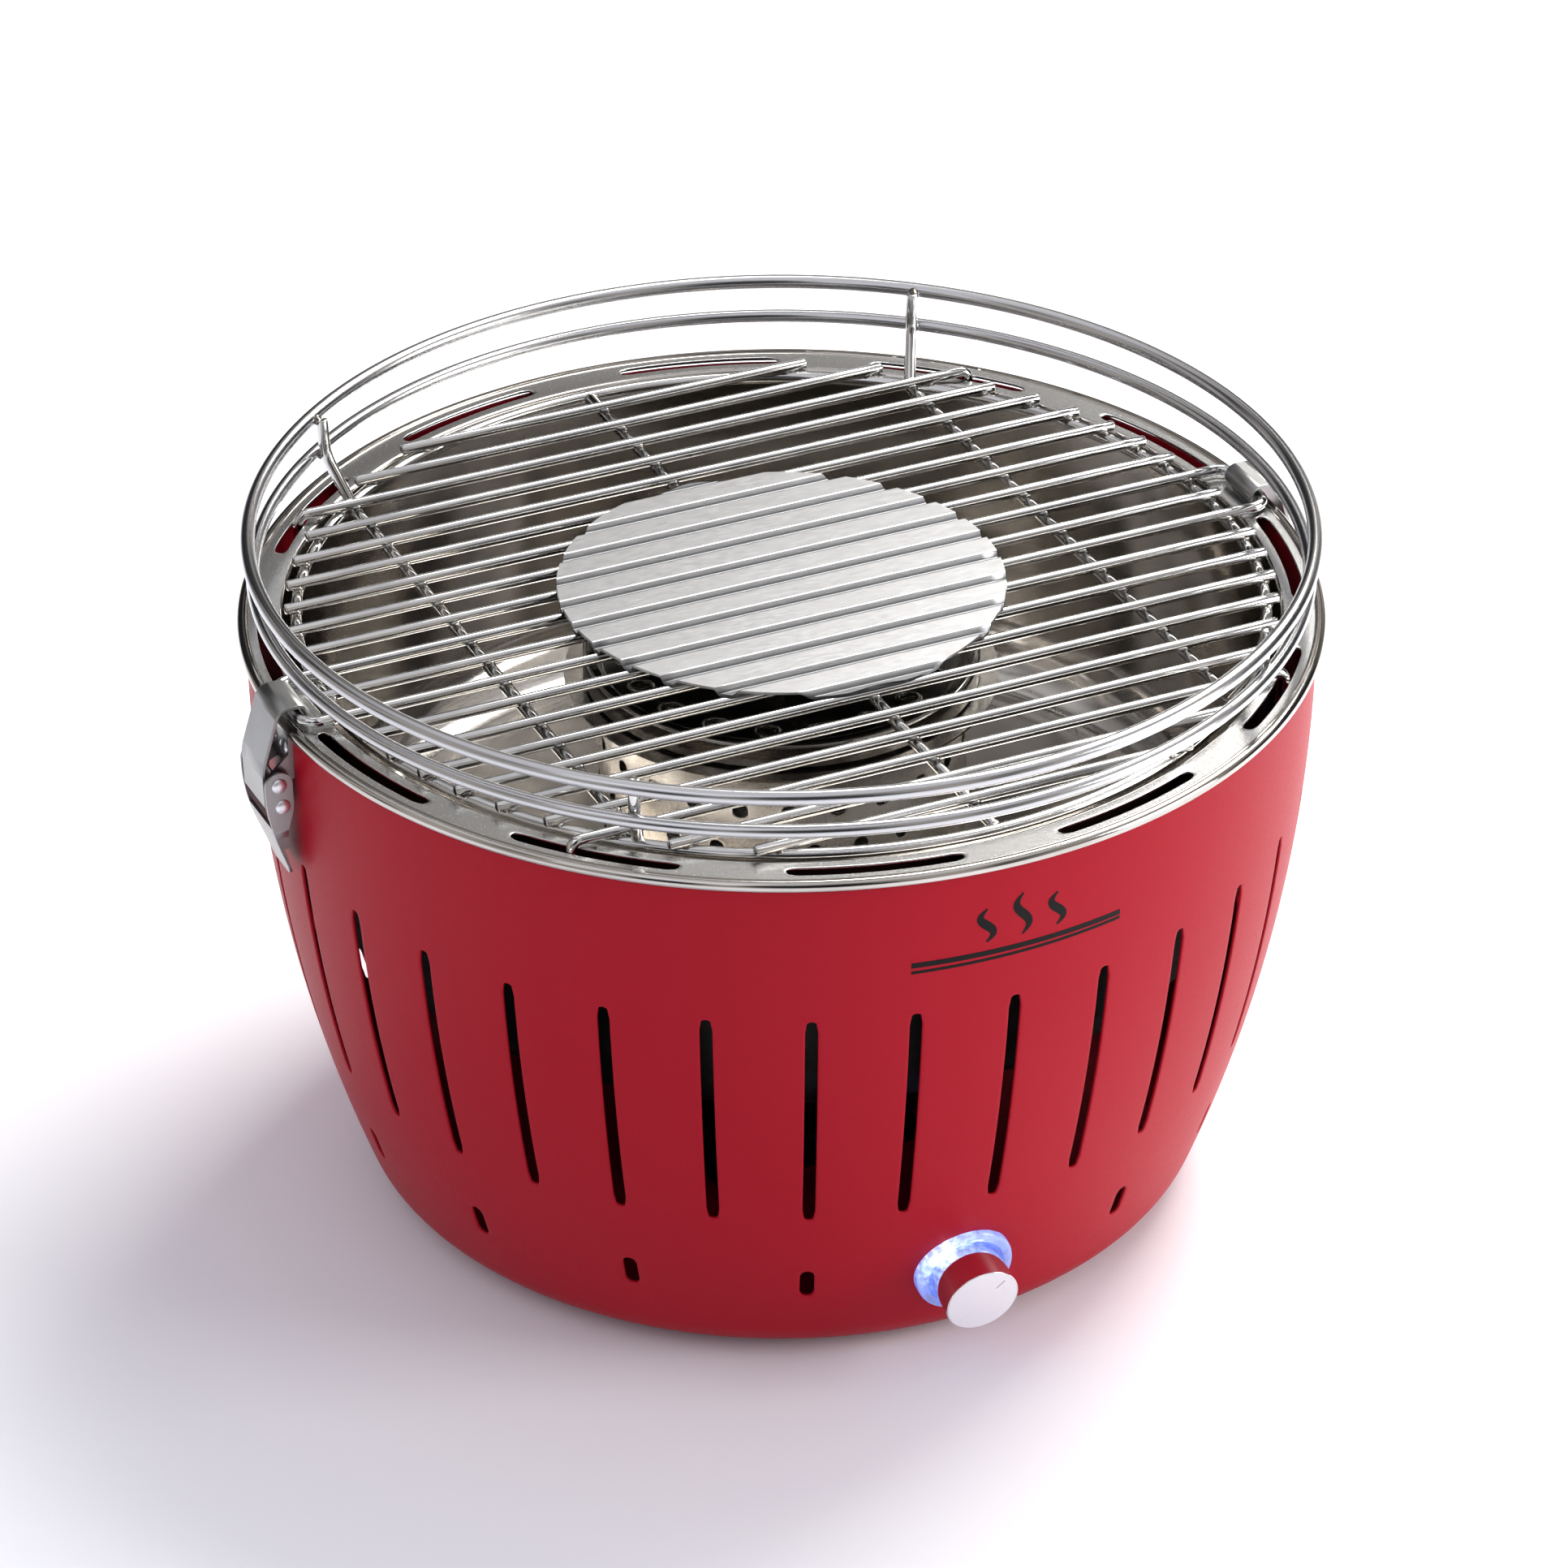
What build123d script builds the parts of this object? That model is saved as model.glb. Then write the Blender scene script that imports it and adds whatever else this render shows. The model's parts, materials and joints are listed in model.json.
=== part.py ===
"""Portable tabletop charcoal grill: a vented double bowl with a fan, a wire grate and two toggle latches.

Frame: millimetres, +Z up, origin on the ground under the middle of the bowl. The control knob faces -Y
and the two toggle latches stand at -X and +X.
"""

from build123d import *
from math import cos, radians, sin, sqrt
import os

# ---- Overall sizes -------------------------------------------------------------------------------
RIM_RADIUS = 176.4  # outside of the curled rim of the inner bowl
RIM_Z = 204.0  # crest of the curled rim
FOOT_HEIGHT = 3.0  # ground to the underside of the outer bowl

# ---- Outer bowl (powder-coated steel) ------------------------------------------------------------
OUTER_WALL = 1.2
BOTTOM_RADIUS = 137.5  # where wall and bottom would meet without the corner round
BOTTOM_ROUND = 18.0
WAIST_RADIUS = 163.5  # radius at the middle of the wall's curve
WAIST_SHARE = 0.45  # height of that point as a share of the wall
MOUTH_INSET = 2.9  # rim outside to the top edge of the wall
MOUTH_GAP = 0.2  # under the curled rim
VENT_COUNT = 33
VENT_WIDTH = 4.0
VENT_LOW, VENT_HIGH = 68.0, 151.0
SHORT_VENT_WIDTH = 4.6
SHORT_VENT_REACH = 14  # the last short vent on each side, in steps from the one over the knob
SHORT_VENT_LOW, SHORT_VENT_HIGH = 31.5, 43.5

# ---- Inner bowl (polished stainless steel) -------------------------------------------------------
INNER_WALL = 0.9
CURL_RADIUS = 2.0
FLANGE_DROP = 0.8  # flat flange below the crest of the curl
MOUTH_RADIUS = 161.4  # where the flange turns down into the bowl
INNER_WAIST_RADIUS = 158.6
INNER_BOTTOM_RADIUS = 151.0
INNER_BOTTOM_Z = 99.0
INNER_ROUND = 26.0
COLLAR_RADIUS = 41.0  # raised air opening in the middle of the bottom
COLLAR_HEIGHT = 5.0
RIM_SLOTS = 12
RIM_SLOT_RADIUS = 167.8
RIM_SLOT_WIDTH = 4.3
RIM_SLOT_ARC = 17.4  # degrees between the centres of its round ends

# ---- Wire grate ----------------------------------------------------------------------------------
ROD_R = 1.8
ROD_PITCH = 14.2
ROD_RANK = 10  # rods lie at whole pitches from -ROD_RANK to +ROD_RANK
LOOP_RANK = 1  # this pair is one closed wire that the latches hold
LEG_RANK = 8  # this pair turns down into slots of the rim
ROD_REACH = 160.6  # cut ends lie on this radius
RIM_CLEARANCE = 0.2  # rods above the crest of the rim
LOOP_REACH = RIM_RADIUS - 4.9  # crossbar of the latch loop
LOOP_BEND = 6.0
LEG_DEPTH = 9.0
LEG_BEND = 3.2
WELD = 0.35  # depth by which two welded wires sink into each other
BASE_RING_RADIUS = 157.0
BASE_RING_R = 2.2
CROSS_R = 2.0
CROSS_X = 102.5
POST_FOOT_Y = 116.5
POST_BEND = 5.0
POST_ANGLE = 49.6  # degrees from the X axis to the post
LOWER_RING_RADIUS, LOWER_RING_R, LOWER_RING_Z = 170.4, 2.25, 219.1
UPPER_RING_RADIUS, UPPER_RING_R, UPPER_RING_Z = 171.7, 2.5, 231.6

# ---- Heat plate ----------------------------------------------------------------------------------
PLATE_RADIUS = 73.0
PLATE_T = 0.8
PLATE_GAP = 0.1  # grooves above the rods
GROOVE_DEPTH = 2.0
GROOVE_FLOOR, GROOVE_MOUTH = 2.4, 5.2

# ---- Charcoal container --------------------------------------------------------------------------
BASKET_RADIUS = 60.0
BASKET_WALL = 0.8
BASKET_FLANGE_RADIUS = 71.0
BASKET_LOW, BASKET_HIGH = 113.0, 178.0
BASKET_BASE_RADIUS = 50.0
SLIDE_GAP = 0.1  # between loose pieces that rest on each other
BASKET_HOLE_R, BASKET_HOLE_ROWS, BASKET_HOLES = 2.6, 3, 24
BASE_HOLES = ((14.0, 6), (32.0, 12))  # circle radius and count in the bottom
LID_RADIUS = 64.0
LID_HEIGHT = 8.0
LID_RECESS = 4.5
LID_T = 0.8
LID_HOLES, LID_HOLE_R, LID_HOLE_CIRCLE = 18, 2.8, 50.0
LID_COLLAR = 0.9
LID_GAP = 0.3
TRAY_RADIUS, TRAY_DEPTH, TRAY_T = 36.0, 4.6, 0.8
TRAY_HOLES, TRAY_HOLE_R = 16, 1.4

# ---- Fan, batteries and control ------------------------------------------------------------------
DUCT_RADIUS, DUCT_T = 38.0, 1.5
HOUSING_RADIUS, HOUSING_T = 56.0, 2.0
HOUSING_LOW, HOUSING_HIGH = 27.0, 58.0
HOUSING_WINDOWS = 12
HOUSING_LEG_R, HOUSING_LEG_CIRCLE = 4.0, 50.0
FAN_RADIUS, FAN_LOW, FAN_HEIGHT = 40.0, 37.5, 14.0
FAN_BLADES, FAN_HUB_RADIUS = 11, 15.0
FAN_FIT = 0.05
MOTOR_RADIUS, MOTOR_HEIGHT = 12.0, 7.0
MOTOR_SHAFT_R = 1.0
CELL_RADIUS, CELL_LENGTH, CELL_COUNT = 7.2, 50.0, 4
CELL_PITCH = 15.2
CELL_GAP = 0.4
CELL_END_GAP = 1.0  # beyond each end of the cells, for the contacts
BOX_WALL, BOX_LIP = 1.6, 7.0
BOX_FIT = 0.2
COVER_T = 2.0
SCREW_R, SCREW_HEAD_R, SCREW_HEAD_H, SCREW_GRIP = 1.5, 3.0, 0.8, 6.0
SCREW_FIT = 0.05
KNOB_Z = 37.0
KNOB_TILT = 12.0  # degrees that the knob's axis points below level
KNOB_TURN = -2.2  # degrees about Z from the vent over the knob
KNOB_RADIUS, KNOB_LENGTH = 12.3, 14.0
KNOB_BORE_DEPTH = 9.0
CAP_RADIUS, CAP_T = 11.9, 0.8
MARK_LENGTH, MARK_WIDTH, MARK_ANGLE = 4.0, 0.5, 45.0
LIGHT_RADIUS, LIGHT_THICK, LIGHT_FLOOR = 16.4, 3.4, 2.0
LIGHT_BORE_GAP = 0.5
POT_RADIUS, POT_DEPTH = 8.0, 9.0
POT_BACK, BUSH_RADIUS = 3.2, 3.9
POT_SHAFT_R, POT_SHAFT_FIT = 3.0, 0.05
FOOT_RADIUS, FOOT_CIRCLE, FOOT_COUNT = 9.0, 108.0, 4

# ---- Toggle latches (heights and distances from the bowl's axis) ---------------------------------
BASE_PIN = (RIM_RADIUS - MOUTH_INSET + 6.1, RIM_Z - 20.0)
HOOK_PIN = (BASE_PIN[0] - 1.0, BASE_PIN[1] - 7.8)
PIN_R, PIN_FIT, PIN_HEAD_R, PIN_HEAD_H = 1.5, 0.05, 2.6, 1.3
HEAD_TAPER = 35.0  # degrees of the cone that stands for a domed head
LATCH_T = 1.2
EAR_RADIUS = 4.6
EAR_INSIDE = 9.9  # half the gap between the lever's ears
LEVER_TIP_Z = BASE_PIN[1] - 36.0
LEVER_TIP_HALF = 7.6
HOOK_HALF = 9.0
HOOK_T = 1.2
HOOK_CLEARANCE = 1.2  # inside of the hook to the loop's crossbar
BRACKET_HALF = 8.2
KNUCKLE_RADIUS = 3.3
RIVET_R, RIVET_Z, RIVET_Y = 1.5, 194.0, 4.5

# ---- Places that follow from the sizes above -----------------------------------------------------
BOWL_TOP = RIM_Z - 2 * CURL_RADIUS - MOUTH_GAP
MOUTH_OUT = RIM_RADIUS - MOUTH_INSET
WAIST_Z = FOOT_HEIGHT + WAIST_SHARE * (BOWL_TOP - FOOT_HEIGHT)
FLOOR_Z = FOOT_HEIGHT + OUTER_WALL  # inside face of the outer bowl's bottom
FLANGE_Z = RIM_Z - FLANGE_DROP
ROD_Z = RIM_Z + RIM_CLEARANCE + ROD_R
BASE_RING_Z = ROD_Z - ROD_R - BASE_RING_R + WELD
CROSS_Z = ROD_Z - ROD_R - CROSS_R + WELD
BOX_LENGTH = CELL_LENGTH + 2 * (BOX_WALL + BOX_FIT + CELL_END_GAP)
BOX_WIDTH = CELL_PITCH * CELL_COUNT + 2 * BOX_WALL
CELL_Z = FOOT_HEIGHT + CELL_GAP + CELL_RADIUS
BOX_TOP = CELL_Z + CELL_RADIUS + CELL_GAP + BOX_WALL
INNER_UNDER = INNER_BOTTOM_Z - INNER_WALL
TRAY_LIP_Z = INNER_BOTTOM_Z + COLLAR_HEIGHT + SLIDE_GAP

os.makedirs("parts", exist_ok=True)


def save(part, name):
    """Label a finished piece and write it as its own STEP file."""
    part.label = name
    export_step(part, f"parts/{name}.step")


def wall_plane(angle, radius, height):
    """Upright plane that faces outward, at an angle about Z counted from the knob."""
    turn = radians(angle - 90)
    out = (cos(turn), sin(turn), 0)
    return Plane(origin=(radius * out[0], radius * out[1], height), x_dir=(-sin(turn), cos(turn), 0), z_dir=out)


def side_plane(side):
    """Plane across a latch: local x runs outward from the bowl's axis, local y is the height."""
    return Plane(origin=(0, 0, 0), x_dir=(side, 0, 0), z_dir=(0, -side, 0))


def wire_along(path, radius):
    """Round wire swept along a path inside the part being built."""
    with BuildSketch(Plane(origin=path @ 0, z_dir=path % 0)) as section:
        Circle(radius)
    sweep(sections=section.sketch, path=path)


def dome_pin(centre, direction, length, shank_r, head_r, head_h):
    """Pin with a domed head at each end, length being the distance between the heads."""
    middle = Vector(*centre)
    along = Vector(*direction).normalized()
    for way in (-1, 1):
        outward = along * way
        with BuildSketch(Plane(origin=middle, z_dir=outward)) as shank:
            Circle(shank_r)
        extrude(shank.sketch, amount=length / 2)
        with BuildSketch(Plane(origin=middle + outward * (length / 2), z_dir=outward)) as head:
            Circle(head_r)
        extrude(head.sketch, amount=head_h, taper=HEAD_TAPER)


# ==== Bowls =======================================================================================
# Solid body of the outer bowl's outside, which trims whatever is fixed against the wall.
with BuildPart() as bowl_envelope:
    with BuildSketch(Plane.XZ):
        with BuildLine():
            Line((0, FOOT_HEIGHT), (BOTTOM_RADIUS, FOOT_HEIGHT))
            wall_line = ThreePointArc((BOTTOM_RADIUS, FOOT_HEIGHT), (WAIST_RADIUS, WAIST_Z), (MOUTH_OUT, BOWL_TOP))
            Polyline(wall_line @ 1, (0, BOWL_TOP), (0, FOOT_HEIGHT))
        make_face()
    revolve(axis=Axis.Z)
    fillet(bowl_envelope.edges().group_by(Axis.Z)[0], BOTTOM_ROUND)

knob_side = wall_plane(KNOB_TURN, 0, KNOB_Z).z_dir
knob_axis = knob_side * cos(radians(KNOB_TILT)) - Vector(0, 0, sin(radians(KNOB_TILT)))
knob_ray = Axis((0, 0, KNOB_Z), tuple(knob_side))
knob_hits = bowl_envelope.part.find_intersection_points(knob_ray)
knob_origin = min((hit[0] for hit in knob_hits), key=lambda point: point.Y)
KNOB_PLANE = Plane(origin=knob_origin, x_dir=tuple(knob_side.rotate(Axis.Z, 90)), z_dir=knob_axis)


def screw_places(half_x, half_y):
    """Four screw places at the corners of a rectangle."""
    return [(x, y) for x in (-half_x, half_x) for y in (-half_y, half_y)]


COVER_SCREWS = screw_places(BOX_WIDTH / 2 + BOX_LIP / 2, BOX_LENGTH / 2 - 8)
LEG_PLACES = [(HOUSING_LEG_CIRCLE * cos(radians(90 * i)), HOUSING_LEG_CIRCLE * sin(radians(90 * i))) for i in range(4)]
FOOT_PLACES = [(FOOT_CIRCLE * cos(radians(45 + 90 * i)), FOOT_CIRCLE * sin(radians(45 + 90 * i)))
               for i in range(FOOT_COUNT)]
FOOT_STEM_R = 3.0

with BuildPart() as outer_bowl:
    add(bowl_envelope.part)
    offset(amount=-OUTER_WALL, openings=outer_bowl.faces().sort_by(Axis.Z)[-1])
    long_mid, long_size = (VENT_LOW + VENT_HIGH) / 2, VENT_HIGH - VENT_LOW
    step = 360 / VENT_COUNT
    with BuildSketch(*[wall_plane(i * step, RIM_RADIUS + 5, long_mid) for i in range(VENT_COUNT)]):
        SlotOverall(long_size, VENT_WIDTH, rotation=90)
    extrude(amount=-45, mode=Mode.SUBTRACT)
    short_mid, short_size = (SHORT_VENT_LOW + SHORT_VENT_HIGH) / 2, SHORT_VENT_HIGH - SHORT_VENT_LOW
    short_steps = [i for i in range(-SHORT_VENT_REACH, SHORT_VENT_REACH + 1, 2) if i != 0] + [VENT_COUNT / 2]
    with BuildSketch(*[wall_plane(i * step, RIM_RADIUS + 5, short_mid) for i in short_steps]):
        SlotOverall(short_size, SHORT_VENT_WIDTH, rotation=90)
    extrude(amount=-50, mode=Mode.SUBTRACT)
    with BuildSketch(KNOB_PLANE):
        Circle(BUSH_RADIUS + POT_SHAFT_FIT)
    extrude(amount=12, both=True, mode=Mode.SUBTRACT)
    with BuildSketch(Plane.XY.offset(FOOT_HEIGHT - 1)):
        with Locations(*FOOT_PLACES):
            Circle(FOOT_STEM_R + SCREW_FIT)
        with Locations(*COVER_SCREWS, *LEG_PLACES):
            Circle(SCREW_R + SCREW_FIT)
        Rectangle(BOX_WIDTH, BOX_LENGTH)
    extrude(amount=OUTER_WALL + 2, mode=Mode.SUBTRACT)
    with BuildSketch(*[wall_plane(90 * side, RIM_RADIUS + 5, RIVET_Z) for side in (-1, 1)]):
        with Locations((-RIVET_Y, 0), (RIVET_Y, 0)):
            Circle(RIVET_R + PIN_FIT)
    extrude(amount=-30, mode=Mode.SUBTRACT)
save(outer_bowl.part, "outer_bowl")

with BuildPart() as inner_bowl:
    with BuildSketch(Plane.XZ):
        with BuildLine():
            FilletPolyline(
                (RIM_RADIUS - CURL_RADIUS, FLANGE_Z),
                (MOUTH_RADIUS, FLANGE_Z),
                (INNER_WAIST_RADIUS, (FLANGE_Z + INNER_BOTTOM_Z) / 2),
                (INNER_BOTTOM_RADIUS, INNER_BOTTOM_Z),
                (COLLAR_RADIUS + 3, INNER_BOTTOM_Z),
                (COLLAR_RADIUS, INNER_BOTTOM_Z + COLLAR_HEIGHT),
                radius=[1.6, 60, INNER_ROUND, 1.6],
            )
            offset(amount=INNER_WALL, side=Side.LEFT)
        make_face()
        with Locations((RIM_RADIUS - CURL_RADIUS, RIM_Z - CURL_RADIUS)):
            Circle(CURL_RADIUS)
    revolve(axis=Axis.Z)
    with BuildSketch(Plane.XY.offset(FLANGE_Z - 6)):
        for i in range(RIM_SLOTS):
            start = (i + 0.5) * 360 / RIM_SLOTS - RIM_SLOT_ARC / 2
            SlotArc(CenterArc((0, 0), RIM_SLOT_RADIUS, start, RIM_SLOT_ARC), RIM_SLOT_WIDTH)
    extrude(amount=10, mode=Mode.SUBTRACT)
save(inner_bowl.part, "inner_bowl")

# ==== Wire grate ==================================================================================
def rod_half(rank):
    """Half length of a rod whose cut ends lie on the reach circle."""
    return sqrt(ROD_REACH**2 - (rank * ROD_PITCH) ** 2)


with BuildPart() as grate_rods:
    for rank in range(-ROD_RANK, ROD_RANK + 1):
        if abs(rank) not in (LOOP_RANK, LEG_RANK):
            with BuildSketch(Plane.YZ):
                with Locations((rank * ROD_PITCH, ROD_Z)):
                    Circle(ROD_R)
            extrude(amount=rod_half(rank), both=True)
    chamfer(grate_rods.edges().filter_by(GeomType.CIRCLE), 0.3)
save(grate_rods.part, "grate_rods")

with BuildPart() as latch_loop:
    half_y = LOOP_RANK * ROD_PITCH
    with BuildLine(Plane.XY.offset(ROD_Z)) as loop_path:
        FilletPolyline(
            (LOOP_REACH, half_y), (LOOP_REACH, -half_y), (-LOOP_REACH, -half_y), (-LOOP_REACH, half_y),
            radius=LOOP_BEND,
            close=True,
        )
    wire_along(loop_path.wires()[0], ROD_R)
save(latch_loop.part, "latch_loop")

LEG_Y = LEG_RANK * ROD_PITCH
LEG_X = sqrt(RIM_SLOT_RADIUS**2 - LEG_Y**2)
with BuildPart() as leg_rods:
    for y in (-LEG_Y, LEG_Y):
        with BuildLine() as leg_path:
            FilletPolyline(
                (-LEG_X, y, ROD_Z - LEG_DEPTH), (-LEG_X, y, ROD_Z), (LEG_X, y, ROD_Z), (LEG_X, y, ROD_Z - LEG_DEPTH),
                radius=LEG_BEND,
            )
        wire_along(leg_path.wires()[0], ROD_R)
save(leg_rods.part, "leg_rods")

with BuildPart() as base_ring:
    with Locations((0, 0, BASE_RING_Z)):
        Torus(BASE_RING_RADIUS, BASE_RING_R)
save(base_ring.part, "base_ring")

with BuildPart() as centre_cross_rod:
    with BuildSketch(Plane.XZ):
        with Locations((0, CROSS_Z)):
            Circle(CROSS_R)
    extrude(amount=BASE_RING_RADIUS - BASE_RING_R + WELD, both=True)
save(centre_cross_rod.part, "centre_cross_rod")


def post_point(side, end, ring_radius, ring_r, height):
    """Where a post leans on the inside of a ring."""
    reach = ring_radius - ring_r - CROSS_R + WELD
    return (side * reach * cos(radians(POST_ANGLE)), end * reach * sin(radians(POST_ANGLE)), height)


for side, name in ((-1, "left_post_rod"), (1, "right_post_rod")):
    with BuildPart() as post_rod:
        with BuildLine() as post_path:
            ends = []
            for end in (-1, 1):
                ends.append([
                    post_point(side, end, UPPER_RING_RADIUS, UPPER_RING_R, UPPER_RING_Z + 0.5),
                    post_point(side, end, LOWER_RING_RADIUS, LOWER_RING_R, LOWER_RING_Z),
                    (side * CROSS_X, end * POST_FOOT_Y, CROSS_Z),
                ])
            FilletPolyline(*ends[0], *reversed(ends[1]), radius=[12, POST_BEND, POST_BEND, 12])
        wire_along(post_path.wires()[0], CROSS_R)
    save(post_rod.part, name)

for name, ring_radius, ring_r, height in (
    ("lower_guard_ring", LOWER_RING_RADIUS, LOWER_RING_R, LOWER_RING_Z),
    ("upper_guard_ring", UPPER_RING_RADIUS, UPPER_RING_R, UPPER_RING_Z),
):
    with BuildPart() as guard_ring:
        with Locations((0, 0, height)):
            Torus(ring_radius, ring_r)
    save(guard_ring.part, name)

# ==== Heat plate: a grooved disc whose grooves rest on the rods ===================================
PLATE_Z = ROD_Z + ROD_R + PLATE_GAP
with BuildPart() as heat_plate:
    with BuildSketch(Plane.YZ):
        with BuildLine():
            ranks = range(-int(PLATE_RADIUS // ROD_PITCH) - 1, int(PLATE_RADIUS // ROD_PITCH) + 2)
            outline = []
            for rank in ranks:
                middle = rank * ROD_PITCH
                outline += [
                    (middle - GROOVE_MOUTH / 2, PLATE_Z + GROOVE_DEPTH),
                    (middle - GROOVE_FLOOR / 2, PLATE_Z),
                    (middle + GROOVE_FLOOR / 2, PLATE_Z),
                    (middle + GROOVE_MOUTH / 2, PLATE_Z + GROOVE_DEPTH),
                ]
            Polyline(*outline)
            offset(amount=PLATE_T, side=Side.LEFT)
        make_face()
    extrude(amount=PLATE_RADIUS + 5, both=True)
    with BuildSketch(Plane.XY.offset(PLATE_Z - 5)):
        Circle(PLATE_RADIUS)
    extrude(amount=20, mode=Mode.INTERSECT)
save(heat_plate.part, "heat_plate")

# ==== Charcoal container, its lid and the ignition tray ===========================================
with BuildPart() as charcoal_container:
    base_low = INNER_BOTTOM_Z + SLIDE_GAP
    with BuildSketch(Plane.XY.offset(base_low)):
        Circle(BASKET_BASE_RADIUS)
        Circle(BASKET_BASE_RADIUS - BASKET_WALL, mode=Mode.SUBTRACT)
    extrude(amount=BASKET_LOW + BASKET_WALL / 2 - base_low)
    with BuildSketch(Plane.XZ):
        with BuildLine():
            FilletPolyline(
                (0, BASKET_LOW),
                (BASKET_RADIUS, BASKET_LOW),
                (BASKET_RADIUS, BASKET_HIGH - BASKET_WALL),
                (BASKET_FLANGE_RADIUS, BASKET_HIGH - BASKET_WALL),
                radius=[8, 2],
            )
            offset(amount=BASKET_WALL, side=Side.LEFT)
        make_face()
    revolve(axis=Axis.Z)
    rows = BASKET_HOLE_ROWS
    row_gap = (BASKET_HIGH - BASKET_LOW - 20) / rows
    for row in range(rows):
        height = BASKET_LOW + 16 + row * row_gap
        turn = 180 / BASKET_HOLES * (row % 2)
        planes = [wall_plane(i * 360 / BASKET_HOLES + turn, BASKET_RADIUS + 5, height) for i in range(BASKET_HOLES)]
        with BuildSketch(*planes):
            Circle(BASKET_HOLE_R)
        extrude(amount=-12, mode=Mode.SUBTRACT)
    with BuildSketch(Plane.XY.offset(BASKET_LOW - 2)):
        for ring, count in BASE_HOLES:
            with PolarLocations(ring, count):
                Circle(BASKET_HOLE_R)
    extrude(amount=8, mode=Mode.SUBTRACT)
save(charcoal_container.part, "charcoal_container")

LID_LOW = BASKET_HIGH + LID_GAP
with BuildPart() as container_lid:
    with BuildSketch(Plane.XZ):
        with BuildLine():
            FilletPolyline(
                (0, LID_LOW + LID_HEIGHT - LID_RECESS),
                (LID_RADIUS - 5, LID_LOW + LID_HEIGHT - LID_RECESS),
                (LID_RADIUS - 3, LID_LOW + LID_HEIGHT - LID_T),
                (LID_RADIUS, LID_LOW + LID_HEIGHT - LID_T),
                (LID_RADIUS, LID_LOW),
                radius=[1.2, 1.0, 1.2],
            )
            offset(amount=LID_T, side=Side.LEFT)
        make_face()
    revolve(axis=Axis.Z)
    top_of_plate = LID_LOW + LID_HEIGHT - LID_RECESS + LID_T
    with BuildSketch(Plane.XY.offset(top_of_plate)):
        with PolarLocations(LID_HOLE_CIRCLE, LID_HOLES):
            Circle(LID_HOLE_R + LID_T)
    extrude(amount=LID_COLLAR)
    with BuildSketch(Plane.XY.offset(top_of_plate - 5)):
        with PolarLocations(LID_HOLE_CIRCLE, LID_HOLES):
            Circle(LID_HOLE_R)
    extrude(amount=10, mode=Mode.SUBTRACT)
save(container_lid.part, "container_lid")

with BuildPart() as ignition_tray:
    with BuildSketch(Plane.XZ):
        with BuildLine():
            FilletPolyline(
                (0, TRAY_LIP_Z - TRAY_DEPTH),
                (TRAY_RADIUS - 4, TRAY_LIP_Z - TRAY_DEPTH),
                (TRAY_RADIUS, TRAY_LIP_Z),
                (COLLAR_RADIUS + 2, TRAY_LIP_Z),
                radius=[2, 1.2],
            )
            offset(amount=TRAY_T, side=Side.LEFT)
        make_face()
    revolve(axis=Axis.Z)
    with BuildSketch(Plane.XY.offset(TRAY_LIP_Z - 1)):
        with PolarLocations((TRAY_RADIUS + COLLAR_RADIUS) / 2, TRAY_HOLES):
            Circle(TRAY_HOLE_R)
    extrude(amount=3, mode=Mode.SUBTRACT)
save(ignition_tray.part, "ignition_tray")

# ==== Fan =========================================================================================
with BuildPart() as air_duct:
    with BuildSketch(Plane.XY.offset(HOUSING_HIGH)):
        Circle(DUCT_RADIUS)
        Circle(DUCT_RADIUS - DUCT_T, mode=Mode.SUBTRACT)
    extrude(amount=INNER_UNDER - HOUSING_HIGH - SLIDE_GAP)
save(air_duct.part, "air_duct")

COVER_LOW = HOUSING_HIGH - HOUSING_T
with BuildPart() as fan_housing:
    with BuildSketch(Plane.XY.offset(HOUSING_LOW)):
        Circle(HOUSING_RADIUS)
    extrude(amount=COVER_LOW - HOUSING_LOW)
    with BuildSketch(Plane.XY.offset(HOUSING_LOW + HOUSING_T)):
        Circle(HOUSING_RADIUS - HOUSING_T)
    extrude(amount=COVER_LOW, mode=Mode.SUBTRACT)
    window_height = COVER_LOW - HOUSING_LOW - 4 * HOUSING_T
    window_mid = (COVER_LOW + HOUSING_LOW) / 2
    window_turns = [(i + 0.5) * 360 / HOUSING_WINDOWS for i in range(HOUSING_WINDOWS)]
    with BuildSketch(*[wall_plane(turn, HOUSING_RADIUS + 2, window_mid) for turn in window_turns]):
        RectangleRounded(16, window_height, 3)
    extrude(amount=-8, mode=Mode.SUBTRACT)
    with BuildSketch(Plane.XY.offset(FLOOR_Z)):
        with PolarLocations(HOUSING_LEG_CIRCLE, 4):
            Circle(HOUSING_LEG_R)
    extrude(amount=HOUSING_LOW - FLOOR_Z)
    with BuildSketch(Plane.XY.offset(FLOOR_Z)):
        with PolarLocations(HOUSING_LEG_CIRCLE, 4):
            Circle(SCREW_R + SCREW_FIT)
    extrude(amount=SCREW_GRIP + 1, mode=Mode.SUBTRACT)
save(fan_housing.part, "fan_housing")

with BuildPart() as fan_cover:
    with BuildSketch(Plane.XY.offset(COVER_LOW)):
        Circle(HOUSING_RADIUS)
        Circle(DUCT_RADIUS - DUCT_T, mode=Mode.SUBTRACT)
    extrude(amount=HOUSING_T)
save(fan_cover.part, "fan_cover")

MOTOR_LOW = HOUSING_LOW + HOUSING_T
with BuildPart() as fan_motor:
    with BuildSketch(Plane.XY.offset(MOTOR_LOW)):
        Circle(MOTOR_RADIUS)
    extrude(amount=MOTOR_HEIGHT)
    with BuildSketch(Plane.XY.offset(MOTOR_LOW)):
        Circle(MOTOR_SHAFT_R)
    extrude(amount=FAN_LOW + FAN_HEIGHT - MOTOR_LOW - 2)
save(fan_motor.part, "fan_motor")

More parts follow.
